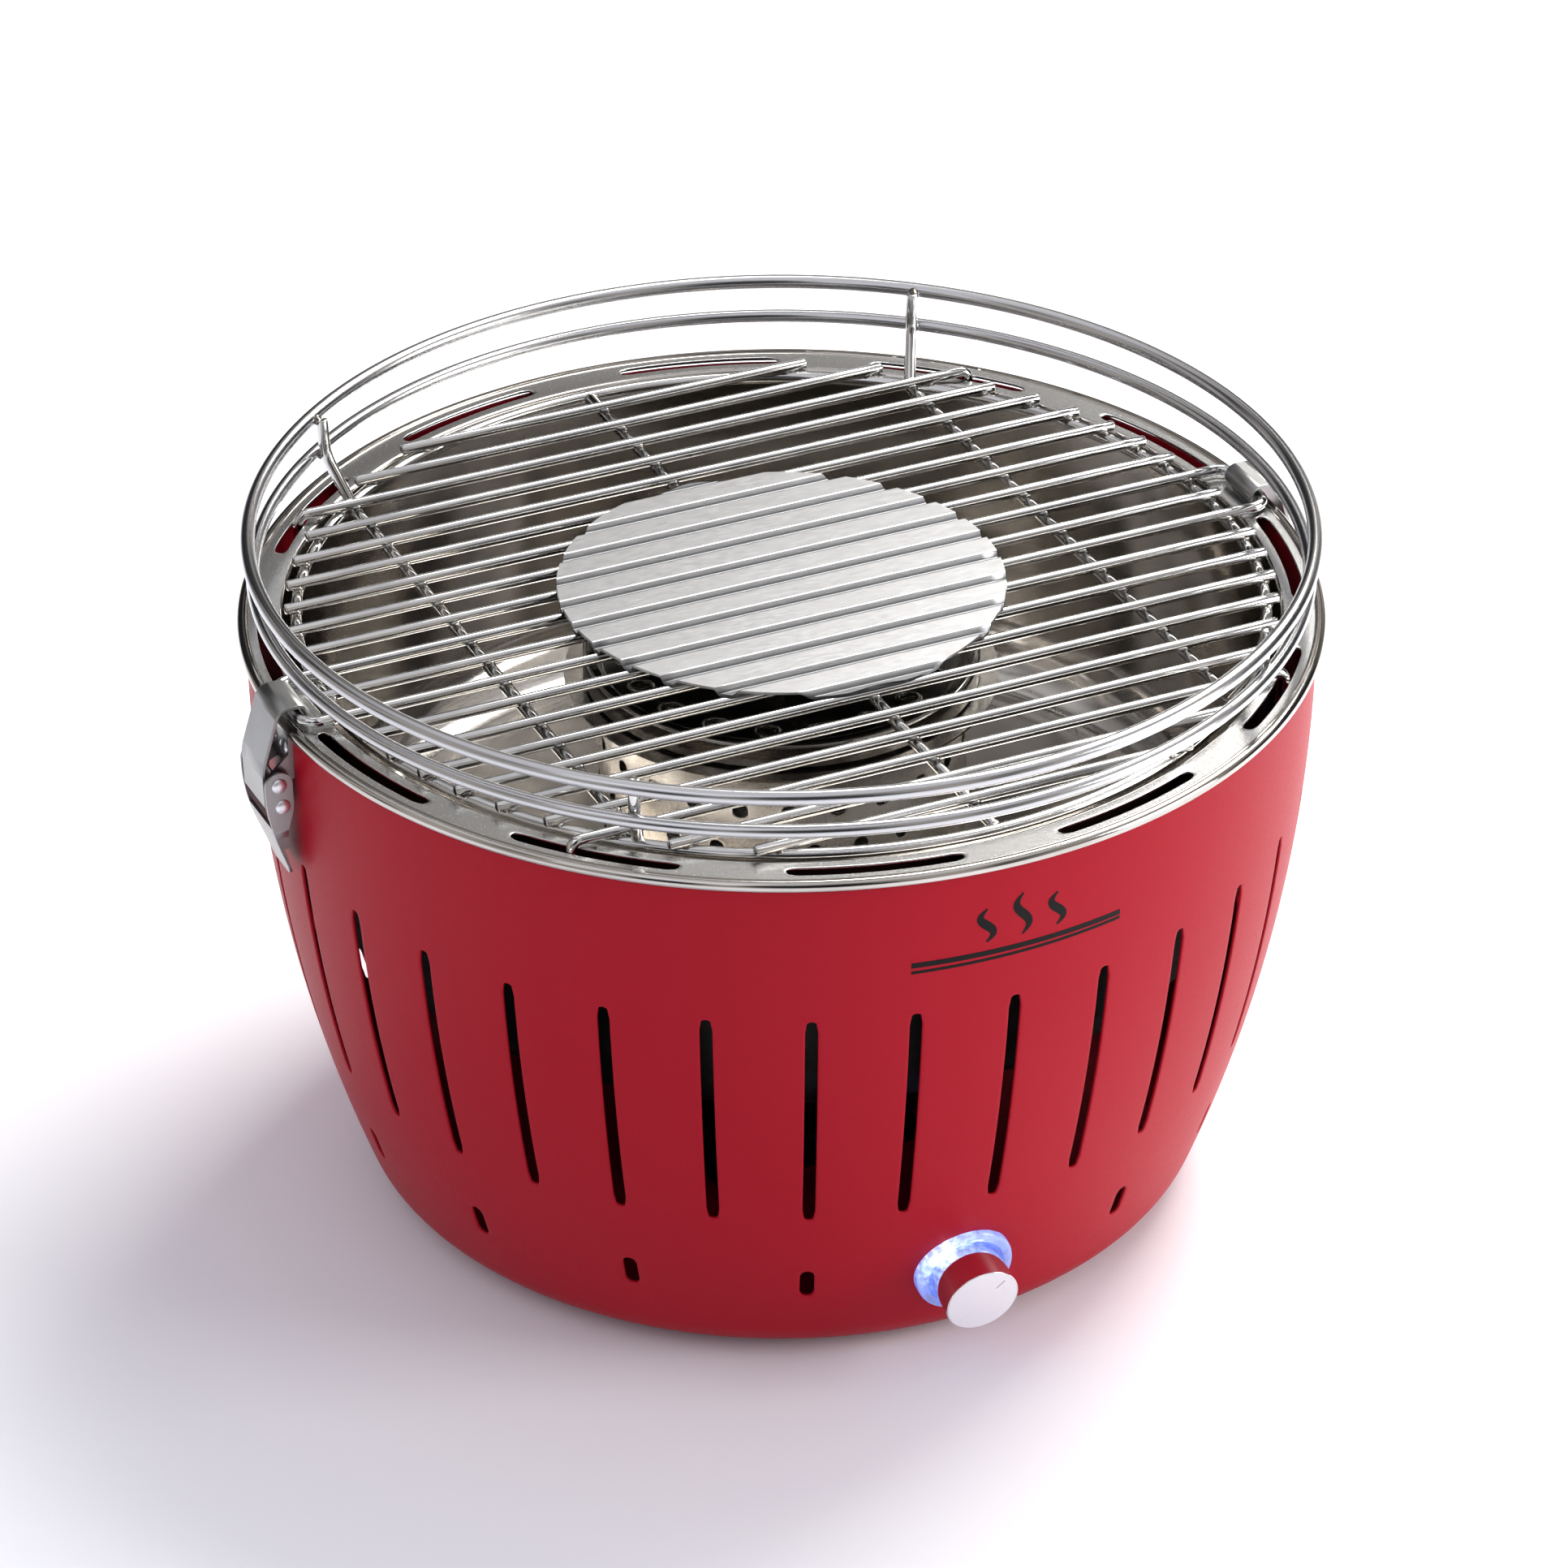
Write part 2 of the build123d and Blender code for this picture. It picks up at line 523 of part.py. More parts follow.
with BuildPart() as fan_impeller:
    with BuildSketch(Plane.XY.offset(FAN_LOW)):
        Circle(FAN_RADIUS)
    extrude(amount=HOUSING_T / 2)
    with BuildSketch(Plane.XY.offset(FAN_LOW)):
        Circle(FAN_HUB_RADIUS)
        with PolarLocations(0, FAN_BLADES):
            with Locations(((FAN_RADIUS + FAN_HUB_RADIUS) / 2, 0)):
                Rectangle(FAN_RADIUS - FAN_HUB_RADIUS + 1, 1.2, rotation=18)
    extrude(amount=FAN_HEIGHT)
    with BuildSketch(Plane.XY.offset(FAN_LOW)):
        Circle(FAN_RADIUS)
    extrude(amount=FAN_HEIGHT, mode=Mode.INTERSECT)
    with BuildSketch(Plane.XY.offset(FAN_LOW)):
        Circle(MOTOR_SHAFT_R + FAN_FIT)
    extrude(amount=FAN_HEIGHT, mode=Mode.SUBTRACT)
save(fan_impeller.part, "fan_impeller")

# ==== Batteries ===================================================================================
with BuildPart() as battery_box:
    with BuildSketch(Plane.XY.offset(FOOT_HEIGHT)):
        Rectangle(BOX_WIDTH - 2 * BOX_FIT, BOX_LENGTH - 2 * BOX_FIT)
    extrude(amount=BOX_TOP - FOOT_HEIGHT)
    with BuildSketch(Plane.XY.offset(FLOOR_Z)):
        Rectangle(BOX_WIDTH + 2 * BOX_LIP, BOX_LENGTH + 2 * BOX_LIP)
    extrude(amount=BOX_WALL)
    with BuildSketch(Plane.XY.offset(FOOT_HEIGHT)):
        Rectangle(BOX_WIDTH - 2 * BOX_FIT - 2 * BOX_WALL, BOX_LENGTH - 2 * BOX_FIT - 2 * BOX_WALL)
    extrude(amount=BOX_TOP - BOX_WALL - FOOT_HEIGHT, mode=Mode.SUBTRACT)
    with BuildSketch(Plane.XY.offset(FLOOR_Z)):
        with Locations(*COVER_SCREWS):
            Circle(SCREW_R + SCREW_FIT)
    extrude(amount=BOX_WALL, mode=Mode.SUBTRACT)
save(battery_box.part, "battery_box")

with BuildPart() as battery_cells:
    for i in range(CELL_COUNT):
        x = (i - (CELL_COUNT - 1) / 2) * CELL_PITCH
        flip = 1 if i % 2 else -1
        with BuildSketch(Plane.XZ):
            with Locations((x, CELL_Z)):
                Circle(CELL_RADIUS)
        extrude(amount=(CELL_LENGTH - 1) / 2, both=True)
        with BuildSketch(Plane.XZ.offset(flip * (CELL_LENGTH - 1) / 2)):
            with Locations((x, CELL_Z)):
                Circle(CELL_RADIUS / 3)
        extrude(amount=flip * 1.0)
save(battery_cells.part, "battery_cells")

COVER_UNDER = FOOT_HEIGHT - COVER_T
with BuildPart() as battery_cover:
    with BuildSketch(Plane.XY.offset(COVER_UNDER)):
        RectangleRounded(BOX_WIDTH + 2 * BOX_LIP, BOX_LENGTH + 2 * BOX_LIP, 4)
    extrude(amount=COVER_T)
    with BuildSketch(Plane.XY.offset(COVER_UNDER)):
        with Locations(*COVER_SCREWS):
            Circle(SCREW_R + SCREW_FIT)
    extrude(amount=COVER_T, mode=Mode.SUBTRACT)
    with BuildSketch(Plane.XY.offset(COVER_UNDER)):
        with Locations(*COVER_SCREWS):
            Circle(SCREW_HEAD_R + SCREW_FIT)
    extrude(amount=SCREW_HEAD_H, mode=Mode.SUBTRACT)
save(battery_cover.part, "battery_cover")


def add_screws(places, head_z, grip):
    """Pan-head screws that point up, with the head's outer face at head_z."""
    with BuildSketch(Plane.XY.offset(head_z)) as heads:
        with Locations(*places):
            Circle(SCREW_HEAD_R)
            RegularPolygon(SCREW_R / 2, 6, mode=Mode.SUBTRACT)
    extrude(heads.sketch, amount=SCREW_HEAD_H)
    with BuildSketch(Plane.XY.offset(head_z + SCREW_HEAD_H)) as shanks:
        with Locations(*places):
            Circle(SCREW_R)
    extrude(shanks.sketch, amount=grip)


with BuildPart() as cover_screws:
    add_screws(COVER_SCREWS, COVER_UNDER, COVER_T - SCREW_HEAD_H + OUTER_WALL + BOX_WALL)
save(cover_screws.part, "cover_screws")

with BuildPart() as housing_screws:
    add_screws(LEG_PLACES, FOOT_HEIGHT - SCREW_HEAD_H, OUTER_WALL + SCREW_GRIP)
save(housing_screws.part, "housing_screws")

with BuildPart() as rubber_feet:
    with BuildSketch(Plane.XY):
        with Locations(*FOOT_PLACES):
            Circle(FOOT_RADIUS)
    extrude(amount=FOOT_HEIGHT)
    chamfer(rubber_feet.edges().group_by(Axis.Z)[0], 0.8)
    with BuildSketch(Plane.XY.offset(FOOT_HEIGHT)):
        with Locations(*FOOT_PLACES):
            Circle(FOOT_STEM_R)
    extrude(amount=OUTER_WALL + 2)
save(rubber_feet.part, "rubber_feet")

# ==== Control =====================================================================================
def on_knob_axis(distance):
    """Plane across the knob's axis, at a distance outward from the bowl's wall."""
    return KNOB_PLANE.offset(distance)


with BuildPart() as light_ring:
    with BuildSketch(on_knob_axis(-8)):
        Circle(LIGHT_RADIUS)
    extrude(amount=8 + LIGHT_THICK)
    fillet(light_ring.faces().sort_by(Axis(tuple(knob_origin), tuple(knob_axis)))[-1].edges(), 1.0)
    with BuildSketch(on_knob_axis(LIGHT_FLOOR)):
        Circle(KNOB_RADIUS + LIGHT_BORE_GAP)
    extrude(amount=LIGHT_THICK, mode=Mode.SUBTRACT)
    add(bowl_envelope.part, mode=Mode.SUBTRACT)
    with BuildSketch(on_knob_axis(-9)):
        Circle(BUSH_RADIUS + 2 * POT_SHAFT_FIT)
    extrude(amount=20, mode=Mode.SUBTRACT)
save(light_ring.part, "light_ring")

with BuildPart() as control_dial_switch:
    with BuildSketch(on_knob_axis(-POT_BACK)):
        Circle(POT_RADIUS)
    extrude(amount=-POT_DEPTH)
    with BuildSketch(on_knob_axis(-POT_BACK)):
        Circle(BUSH_RADIUS)
    extrude(amount=POT_BACK + LIGHT_FLOOR)
    with BuildSketch(on_knob_axis(LIGHT_FLOOR)):
        Circle(POT_SHAFT_R)
    extrude(amount=KNOB_BORE_DEPTH - 1)
save(control_dial_switch.part, "control_dial_switch")

KNOB_BACK = LIGHT_FLOOR + LIGHT_BORE_GAP
with BuildPart() as control_knob:
    with BuildSketch(on_knob_axis(KNOB_BACK)):
        Circle(KNOB_RADIUS)
    extrude(amount=KNOB_LENGTH)
    knob_front = control_knob.faces().sort_by(Axis(tuple(knob_origin), tuple(knob_axis)))[-1]
    chamfer(knob_front.edges(), 0.4)
    with BuildSketch(on_knob_axis(KNOB_BACK)):
        Circle(POT_SHAFT_R + POT_SHAFT_FIT)
    extrude(amount=KNOB_BORE_DEPTH, mode=Mode.SUBTRACT)
    with BuildSketch(on_knob_axis(KNOB_BACK + KNOB_LENGTH - CAP_T)):
        Circle(CAP_RADIUS)
    extrude(amount=CAP_T, mode=Mode.SUBTRACT)
save(control_knob.part, "control_knob")

with BuildPart() as knob_cap:
    with BuildSketch(on_knob_axis(KNOB_BACK + KNOB_LENGTH - CAP_T)):
        Circle(CAP_RADIUS)
    extrude(amount=CAP_T)
    with BuildSketch(on_knob_axis(KNOB_BACK + KNOB_LENGTH)):
        with PolarLocations(CAP_RADIUS - MARK_LENGTH, 1, start_angle=MARK_ANGLE):
            SlotOverall(MARK_LENGTH, MARK_WIDTH)
    extrude(amount=-CAP_T / 2, mode=Mode.SUBTRACT)
save(knob_cap.part, "knob_cap")

# ==== Toggle latches ==============================================================================
EAR_OUTSIDE = EAR_INSIDE + LATCH_T
PLATE_FACE = MOUTH_OUT + 1.4
TOP_OF_HOOK = ROD_Z + ROD_R + HOOK_CLEARANCE + HOOK_T
HOOK_LIP = LOOP_REACH - ROD_R - HOOK_CLEARANCE - HOOK_T
HOOK_BARREL = 2.9
HOOK_OUT = BASE_PIN[0] + 4.9


def lever_point(out, down):
    """Point of the lever's side, measured outward and down from the base pin."""
    return (BASE_PIN[0] + out, BASE_PIN[1] - down)


def pin_point(side, pin, y=0.0):
    """Place of a latch pin's middle in the grill's frame."""
    return (side * pin[0], y, pin[1])


for side, place in ((-1, "left"), (1, "right")):
    across = side_plane(side)
    front = wall_plane(90 * side, 0, 0)

    with BuildPart() as latch_bracket:
        with BuildSketch(across):
            with BuildLine():
                Polyline(
                    (MOUTH_OUT - 4, BASE_PIN[1] + 4), (PLATE_FACE, BASE_PIN[1] + 4), (PLATE_FACE, BOWL_TOP - 0.8),
                    (MOUTH_OUT - 4, BOWL_TOP - 0.8),
                    close=True,
                )
            make_face()
        extrude(amount=BRACKET_HALF, both=True)
        with BuildSketch(across):
            with Locations(BASE_PIN):
                Circle(KNUCKLE_RADIUS)
            with BuildLine():
                Polyline(
                    (MOUTH_OUT - 4, BASE_PIN[1] + 9), (PLATE_FACE, BASE_PIN[1] + 9),
                    (BASE_PIN[0] + KNUCKLE_RADIUS * 0.85, BASE_PIN[1] + KNUCKLE_RADIUS * 0.5),
                    (BASE_PIN[0], BASE_PIN[1] - KNUCKLE_RADIUS * 0.98), (MOUTH_OUT - 4, BASE_PIN[1] + 2),
                    close=True,
                )
            make_face()
        extrude(amount=BRACKET_HALF, both=True)
        with BuildSketch(across):
            with Locations((PLATE_FACE + 10, BASE_PIN[1])):
                Rectangle(20, 40)
        extrude(amount=BRACKET_HALF - LATCH_T, both=True, mode=Mode.SUBTRACT)
        with BuildSketch(across):
            with Locations((PLATE_FACE - 4, BASE_PIN[1] - 1)):
                Rectangle(12, 10)
        extrude(amount=BRACKET_HALF - LATCH_T, both=True, mode=Mode.SUBTRACT)
        add(bowl_envelope.part, mode=Mode.SUBTRACT)
        with BuildSketch(across):
            with Locations(BASE_PIN):
                Circle(PIN_R + PIN_FIT)
        extrude(amount=BRACKET_HALF + 1, both=True, mode=Mode.SUBTRACT)
        with BuildSketch(front.offset(PLATE_FACE + 2)):
            with Locations((-RIVET_Y, RIVET_Z), (RIVET_Y, RIVET_Z)):
                Circle(RIVET_R + PIN_FIT)
        extrude(amount=-10, mode=Mode.SUBTRACT)
    save(latch_bracket.part, f"{place}_latch_bracket")

    with BuildPart() as base_pin:
        dome_pin(pin_point(side, BASE_PIN), (0, 1, 0), 2 * EAR_OUTSIDE + 0.2, PIN_R, PIN_HEAD_R, PIN_HEAD_H)
    save(base_pin.part, f"{place}_base_pin")

    with BuildPart() as hook_pin:
        dome_pin(pin_point(side, HOOK_PIN), (0, 1, 0), 2 * EAR_OUTSIDE, PIN_R, PIN_HEAD_R, PIN_HEAD_H)
    save(hook_pin.part, f"{place}_hook_pin")

    with BuildPart() as latch_lever:
        top, tip = BASE_PIN[1], LEVER_TIP_Z
        length = top - tip
        with BuildSketch(across):
            with BuildLine():
                ear_top = ThreePointArc(
                    (BASE_PIN[0] - EAR_RADIUS, top), (BASE_PIN[0], top + EAR_RADIUS), (BASE_PIN[0] + EAR_RADIUS, top)
                )
                outer = Spline(ear_top @ 1, lever_point(4.0, 9.0), lever_point(2.6, 16.0), lever_point(-1.2, 27.5),
                               lever_point(-4.0, length), tangents=[(0, -1), (-0.25, -1)])
                heel = Line(outer @ 1, lever_point(-5.4, length - 0.4))
                inner = Spline(heel @ 1, lever_point(-4.2, 27.0), lever_point(-2.6, 18.0), lever_point(-4.4, 10.5),
                               ear_top @ 0, tangents=[(0.1, 1), (0, 1)])
            make_face()
        extrude(amount=EAR_OUTSIDE, both=True)
        with BuildSketch(across):
            with BuildLine():
                web = Spline(lever_point(2.6 - LATCH_T, 16.0), lever_point(-1.2 - LATCH_T, 27.5),
                             lever_point(-4.0 - LATCH_T, length + 0.6))
                Polyline(web @ 1, lever_point(-14.6, length + 0.6), lever_point(-14.6, -16.0),
                         lever_point(12.4, -16.0), lever_point(12.4, 16.0), web @ 0)
            make_face()
        extrude(amount=EAR_INSIDE, both=True, mode=Mode.SUBTRACT)
        with BuildSketch(front.offset(BASE_PIN[0] - 14.6)):
            with BuildLine():
                half = EAR_OUTSIDE
                FilletPolyline(
                    (half, top + 11), (half, top - 18), (LEVER_TIP_HALF, tip - 0.5), (-LEVER_TIP_HALF, tip - 0.5),
                    (-half, top - 18), (-half, top + 11),
                    radius=[14, 5, 5, 14],
                )
                Line((-half, top + 11), (half, top + 11))
            make_face()
        extrude(amount=30, mode=Mode.INTERSECT)
        with BuildSketch(across):
            with Locations(BASE_PIN):
                Circle(PIN_R + PIN_FIT)
        extrude(amount=EAR_OUTSIDE + 1, both=True, mode=Mode.SUBTRACT)
        with BuildSketch(across):
            with Locations(HOOK_PIN):
                Circle(PIN_R)
        extrude(amount=EAR_OUTSIDE + 1, both=True, mode=Mode.SUBTRACT)
    save(latch_lever.part, f"{place}_latch_lever")

    with BuildPart() as latch_hook:
        with BuildSketch(across):
            with BuildLine():
                FilletPolyline(
                    (HOOK_PIN[0], HOOK_PIN[1] - HOOK_BARREL),
                    (HOOK_OUT - 0.7, HOOK_PIN[1] - HOOK_BARREL),
                    (HOOK_OUT, HOOK_PIN[1] + 13),
                    (LOOP_REACH + 6.7, TOP_OF_HOOK),
                    (HOOK_LIP, TOP_OF_HOOK),
                    (HOOK_LIP, ROD_Z - 1.2),
                    radius=[3.8, 14.6, 5.1, HOOK_T + ROD_R + HOOK_CLEARANCE - 0.3],
                )
                offset(amount=HOOK_T, side=Side.LEFT)
            make_face()
            with Locations(HOOK_PIN):
                Circle(HOOK_BARREL)
                Circle(PIN_R + PIN_FIT, mode=Mode.SUBTRACT)
        extrude(amount=HOOK_HALF, both=True)
    save(latch_hook.part, f"{place}_latch_hook")

    with BuildPart() as bracket_rivets:
        inside = MOUTH_OUT - OUTER_WALL - 0.3
        for y in (-RIVET_Y, RIVET_Y):
            dome_pin((side * (PLATE_FACE + inside) / 2, y, RIVET_Z), (1, 0, 0), PLATE_FACE - inside, RIVET_R,
                     PIN_HEAD_R, PIN_HEAD_H)
    save(bracket_rivets.part, f"{place}_bracket_rivets")
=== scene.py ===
"""Looks for the portable tabletop grill, laid out as a Blender add-on and run as a script.

Shapes are drawn in millimetres in the grill's own frame: +Z up, the knob on the -Y side.
finish_piece turns them to metres.
"""

import json
from math import asin, atan2, ceil, cos, pi, radians, sin, sqrt, tan

import bmesh
import bpy
from mathutils import Matrix, Vector, noise


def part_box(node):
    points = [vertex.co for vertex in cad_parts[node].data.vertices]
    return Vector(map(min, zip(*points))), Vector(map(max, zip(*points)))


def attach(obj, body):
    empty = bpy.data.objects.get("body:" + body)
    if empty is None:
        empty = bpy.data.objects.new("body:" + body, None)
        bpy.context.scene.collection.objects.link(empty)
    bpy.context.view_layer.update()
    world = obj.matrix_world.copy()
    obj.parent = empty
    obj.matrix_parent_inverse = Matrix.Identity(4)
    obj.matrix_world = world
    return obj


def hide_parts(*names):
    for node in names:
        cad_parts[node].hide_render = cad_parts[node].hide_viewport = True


bl_info = {
    "name": "Tabletop Grill",
    "version": (1, 0, 0),
    "blender": (4, 5, 0),
    "location": "View3D > Sidebar > Grill",
    "description": "Adds the looks of a portable tabletop charcoal grill around its fixed frame",
    "category": "Object",
}

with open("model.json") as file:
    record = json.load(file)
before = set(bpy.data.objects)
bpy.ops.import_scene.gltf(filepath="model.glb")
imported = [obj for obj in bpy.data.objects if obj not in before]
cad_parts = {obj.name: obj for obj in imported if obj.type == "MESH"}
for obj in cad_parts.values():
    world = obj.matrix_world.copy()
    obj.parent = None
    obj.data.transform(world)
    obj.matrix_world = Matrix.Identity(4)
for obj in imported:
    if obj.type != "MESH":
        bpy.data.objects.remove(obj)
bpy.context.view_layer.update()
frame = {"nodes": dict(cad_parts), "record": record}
MM = 0.001

# ---- Bowl ------------------------------------------------------------------------------------
RIM_RADIUS, RIM_Z, FOOT_HEIGHT = 176.4, 204.0, 3.0
BOTTOM_RADIUS, BOTTOM_ROUND = 137.5, 18.0
WAIST_RADIUS, WAIST_SHARE = 163.5, 0.45
MOUTH_RADIUS, MOUTH_Z = 173.5, 199.8
OUTER_WALL = 1.2
VENT_COUNT, VENT_HALF, VENT_LOW, VENT_HIGH = 33, 2.0, 68.0, 151.0
# Short vents, in steps between long vents: every second one, except over the knob, and one at the back.
SHORT_STEPS = tuple(step for step in range(-14, 15, 2) if step) + (VENT_COUNT / 2,)
SHORT_HALF, SHORT_LOW, SHORT_HIGH = 2.3, 31.5, 43.5
CURL_RADIUS, FLANGE_Z, INNER_WALL = 2.0, 203.2, 0.9
INNER_CORNERS = ((172.0, 203.2), (161.4, 203.2), (158.6, 151.1), (151.0, 99.0), (44.0, 99.0), (41.0, 104.0))
INNER_ROUNDS = (1.6, 60.0, 26.0, 1.6)
RIM_SLOTS, RIM_SLOT_RADIUS, RIM_SLOT_HALF, RIM_SLOT_ARC = 12, 167.8, 2.15, 17.4

# ---- Grate -----------------------------------------------------------------------------------
ROD_R, ROD_PITCH, ROD_RANK, LOOP_RANK, LEG_RANK = 1.8, 14.2, 10, 1, 8
ROD_Z, ROD_REACH = 206.0, 160.6
LOOP_REACH, LOOP_BEND = 171.5, 6.0
LEG_DEPTH, LEG_BEND = 9.0, 3.2
BASE_RING = (157.0, 2.2, 202.35)
CROSS_R, CROSS_Z, CROSS_X = 2.0, 202.55, 102.5
POST_FOOT_Y, POST_ANGLE, POST_BEND = 116.5, 49.6, 5.0
LOWER_RING = (170.4, 2.25, 219.1)
UPPER_RING = (171.7, 2.5, 231.6)
WELD = 0.35

# ---- Plate, container and lid ----------------------------------------------------------------
PLATE_RADIUS, PLATE_T, PLATE_Z = 73.0, 0.8, 207.9
GROOVE_DEPTH, GROOVE_FLOOR, GROOVE_MOUTH = 2.0, 2.4, 5.2
BASKET_RADIUS, BASKET_FLANGE, BASKET_LOW, BASKET_HIGH = 60.0, 71.0, 113.0, 178.0
SHEET_T = 0.8
BASKET_HOLE_R, BASE_HOLES, BASE_RADIUS = 2.6, ((14.0, 6), (32.0, 12)), 50.0
RIVET_Y = 4.5
LID_RADIUS, LID_LOW, LID_HEIGHT, LID_RECESS = 64.0, 178.3, 8.0, 4.5

# ---- Knob ------------------------------------------------------------------------------------
KNOB_TILT = radians(12.0)
KNOB_RADIUS, KNOB_BACK, KNOB_LENGTH = 12.3, 2.5, 14.0
RING_RADIUS, RING_THICK, CAP_SEAT = 16.4, 3.4, 11.95
KNOB_TURN = Matrix.Rotation(radians(-2.2), 3, "Z")
KNOB_PLACE = KNOB_TURN @ Vector((0.0, -149.516, 37.0))
KNOB_AXIS = KNOB_TURN @ Vector((0.0, -cos(KNOB_TILT), -sin(KNOB_TILT)))
KNOB_FRAME = Matrix.Translation(KNOB_PLACE) @ KNOB_AXIS.to_track_quat("Z", "Y").to_matrix().to_4x4()


# ==== Sizes and colours that a user would change ==============================================
class GrillShape(bpy.types.PropertyGroup):
    """Sizes of the details that are drawn here and aren't in the frame."""

    lip: bpy.props.FloatProperty(
        name="Slot lip", description="Round of the paint over a slot's edge", default=0.45 * MM, unit="LENGTH")
    rim_lip: bpy.props.FloatProperty(
        name="Rim slot lip", description="Round of the steel at a slot in the rim",
        default=0.3 * MM, unit="LENGTH")
    nose: bpy.props.FloatProperty(
        name="Rod end round", description="Round at the cut end of a rod", default=0.5 * MM, unit="LENGTH")
    bead: bpy.props.FloatProperty(
        name="Weld bead", description="Half the length of a weld between two wires",
        default=2.4 * MM, unit="LENGTH")
    edge: bpy.props.FloatProperty(
        name="Edge round", description="Round on the edges of pressed steel and moulded plastic",
        default=0.25 * MM, unit="LENGTH")


class GrillColours(bpy.types.PropertyGroup):
    """Colours of the finishes, as sRGB hex values."""

    paint: bpy.props.StringProperty(
        name="Bowl paint", description="sRGB hex of the powder coat", default="A00D20")
    steel: bpy.props.StringProperty(
        name="Bright steel", description="sRGB hex of bare steel", default="D9D8D6")
    glow: bpy.props.StringProperty(
        name="Light ring", description="sRGB hex of the lamp's light", default="3F6BFF")
    print_ink: bpy.props.StringProperty(
        name="Print", description="sRGB hex of the printed mark", default="0D0808")


class GrillStage(bpy.types.PropertyGroup):
    """Camera and lights."""

    lens: bpy.props.FloatProperty(name="Lens", description="Focal length in millimetres", default=155.8)
    floor_tone: bpy.props.StringProperty(name="Floor", description="sRGB hex of the floor", default="F4F4F6")
    key_power: bpy.props.FloatProperty(
        name="Key light", description="Power of the large lamp", default=43.0, unit="POWER")
    sky: bpy.props.FloatProperty(
        name="Room light", description="Strength of the light all round", default=0.72)


# ==== Meshes ==================================================================================
class Shape:
    """Points in millimetres and faces, gathered for one piece. Each face keeps a finish number."""

    def __init__(self):
        self.points, self.faces, self.finishes = [], [], []
        self.finish = 0

    def ring(self, points):
        """Adds points and returns their numbers."""
        start = len(self.points)
        self.points += [Vector(p) for p in points]
        return list(range(start, len(self.points)))

    def face(self, numbers):
        self.faces.append(tuple(numbers))
        self.finishes.append(self.finish)

    def bridge(self, first, second, closed=True):
        """Quads between two rings of as many points."""
        count = len(first)
        for i in range(count if closed else count - 1):
            j = (i + 1) % count
            self.face((first[i], first[j], second[j], second[i]))


def finish_piece(shape, name, body, slot, replaces=(), sharp=40.0, weld=0.0005, finishes=()):
    """Makes the object, in metres, with smooth faces, and puts it on its body. Its finishes, or its slot when
    none are given, name its materials.
    """
    mesh = bpy.data.meshes.new(name)
    mesh.from_pydata([p * MM for p in shape.points], [], shape.faces)
    for face, number in zip(mesh.polygons, shape.finishes):
        face.material_index = number
    made = bmesh.new()
    made.from_mesh(mesh)
    bmesh.ops.remove_doubles(made, verts=made.verts, dist=weld * MM)
    bmesh.ops.dissolve_degenerate(made, edges=made.edges, dist=weld * MM)
    bmesh.ops.recalc_face_normals(made, faces=made.faces)
    made.to_mesh(mesh)
    made.free()
    mesh.shade_smooth()
    mesh.set_sharp_from_angle(angle=radians(sharp))
    for finish in finishes or (slot,):
        mesh.materials.append(FINISH[finish])
    piece = bpy.data.objects.new(name, mesh)
    bpy.context.scene.collection.objects.link(piece)
    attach(piece, body)
    if replaces:
        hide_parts(*replaces)
    return piece


def rounded_path(corners, rounds, closed=False, step=radians(8)):
    """Points along straight runs whose corners are rounded, in two or three dimensions."""
    corners = [Vector(c) for c in corners]
    count = len(corners)
    inner = count if closed else count - 2
    rounds = list(rounds) if hasattr(rounds, "__len__") else [rounds] * inner
    path = []
    for i, corner in enumerate(corners):
        if not closed and i in (0, count - 1):
            path.append(corner)
            continue
        round_radius = rounds[i if closed else i - 1]
        back = (corners[i - 1] - corner).normalized()
        ahead = (corners[(i + 1) % count] - corner).normalized()
        half = back.angle(ahead) / 2
        if round_radius <= 0 or half > pi / 2 - 1e-3:
            path.append(corner)
            continue
        centre = corner + (back + ahead).normalized() * (round_radius / sin(half))
        start = corner + back * (round_radius / tan(half)) - centre
        end = corner + ahead * (round_radius / tan(half)) - centre
        sweep = pi - 2 * half
        parts = max(2, ceil(sweep / step))
        for k in range(parts + 1):
            share = k / parts
            path.append(centre + (start * sin((1 - share) * sweep) + end * sin(share * sweep)) / sin(sweep))
    return path


def add_wire(shape, path, radius, sides=16, closed=False, nose=0.0):
    """Round wire along a path, with rounded cut ends."""
    path = [Vector(p) for p in path]
    count = len(path)
    rings, across = [], None
    for i, point in enumerate(path):
        ahead = path[(i + 1) % count] if closed else path[min(i + 1, count - 1)]
        behind = path[i - 1] if closed else path[max(i - 1, 0)]
        along = (ahead - behind).normalized()
        across = across or (Vector((1, 0, 0)) if abs(along.z) > 0.9 else Vector((0, 0, 1)))
        across = (across - along * across.dot(along)).normalized()
        side = along.cross(across)
        first, last = not closed and i == 0, not closed and i == count - 1
        places = [(0.0, radius)]
        if first or last:
            turns = [k * pi / 6 for k in range(4)]
            places = [(nose * (1 - sin(a)), radius - nose * (1 - cos(a))) for a in turns]
            places = [(d if first else -d, r) for d, r in (reversed(places) if first else places)]
            places = places if first else sorted(places, key=lambda place: place[0])
        ways = [across * cos(2 * pi * k / sides) + side * sin(2 * pi * k / sides) for k in range(sides)]
        for shift, r in places:
            rings.append(shape.ring([point + along * shift + way * r for way in ways]))
    for first, second in zip(rings, rings[1:]):
        shape.bridge(first, second)
    if closed:
        shape.bridge(rings[-1], rings[0])
    else:
        shape.face(rings[0])
        shape.face(rings[-1])


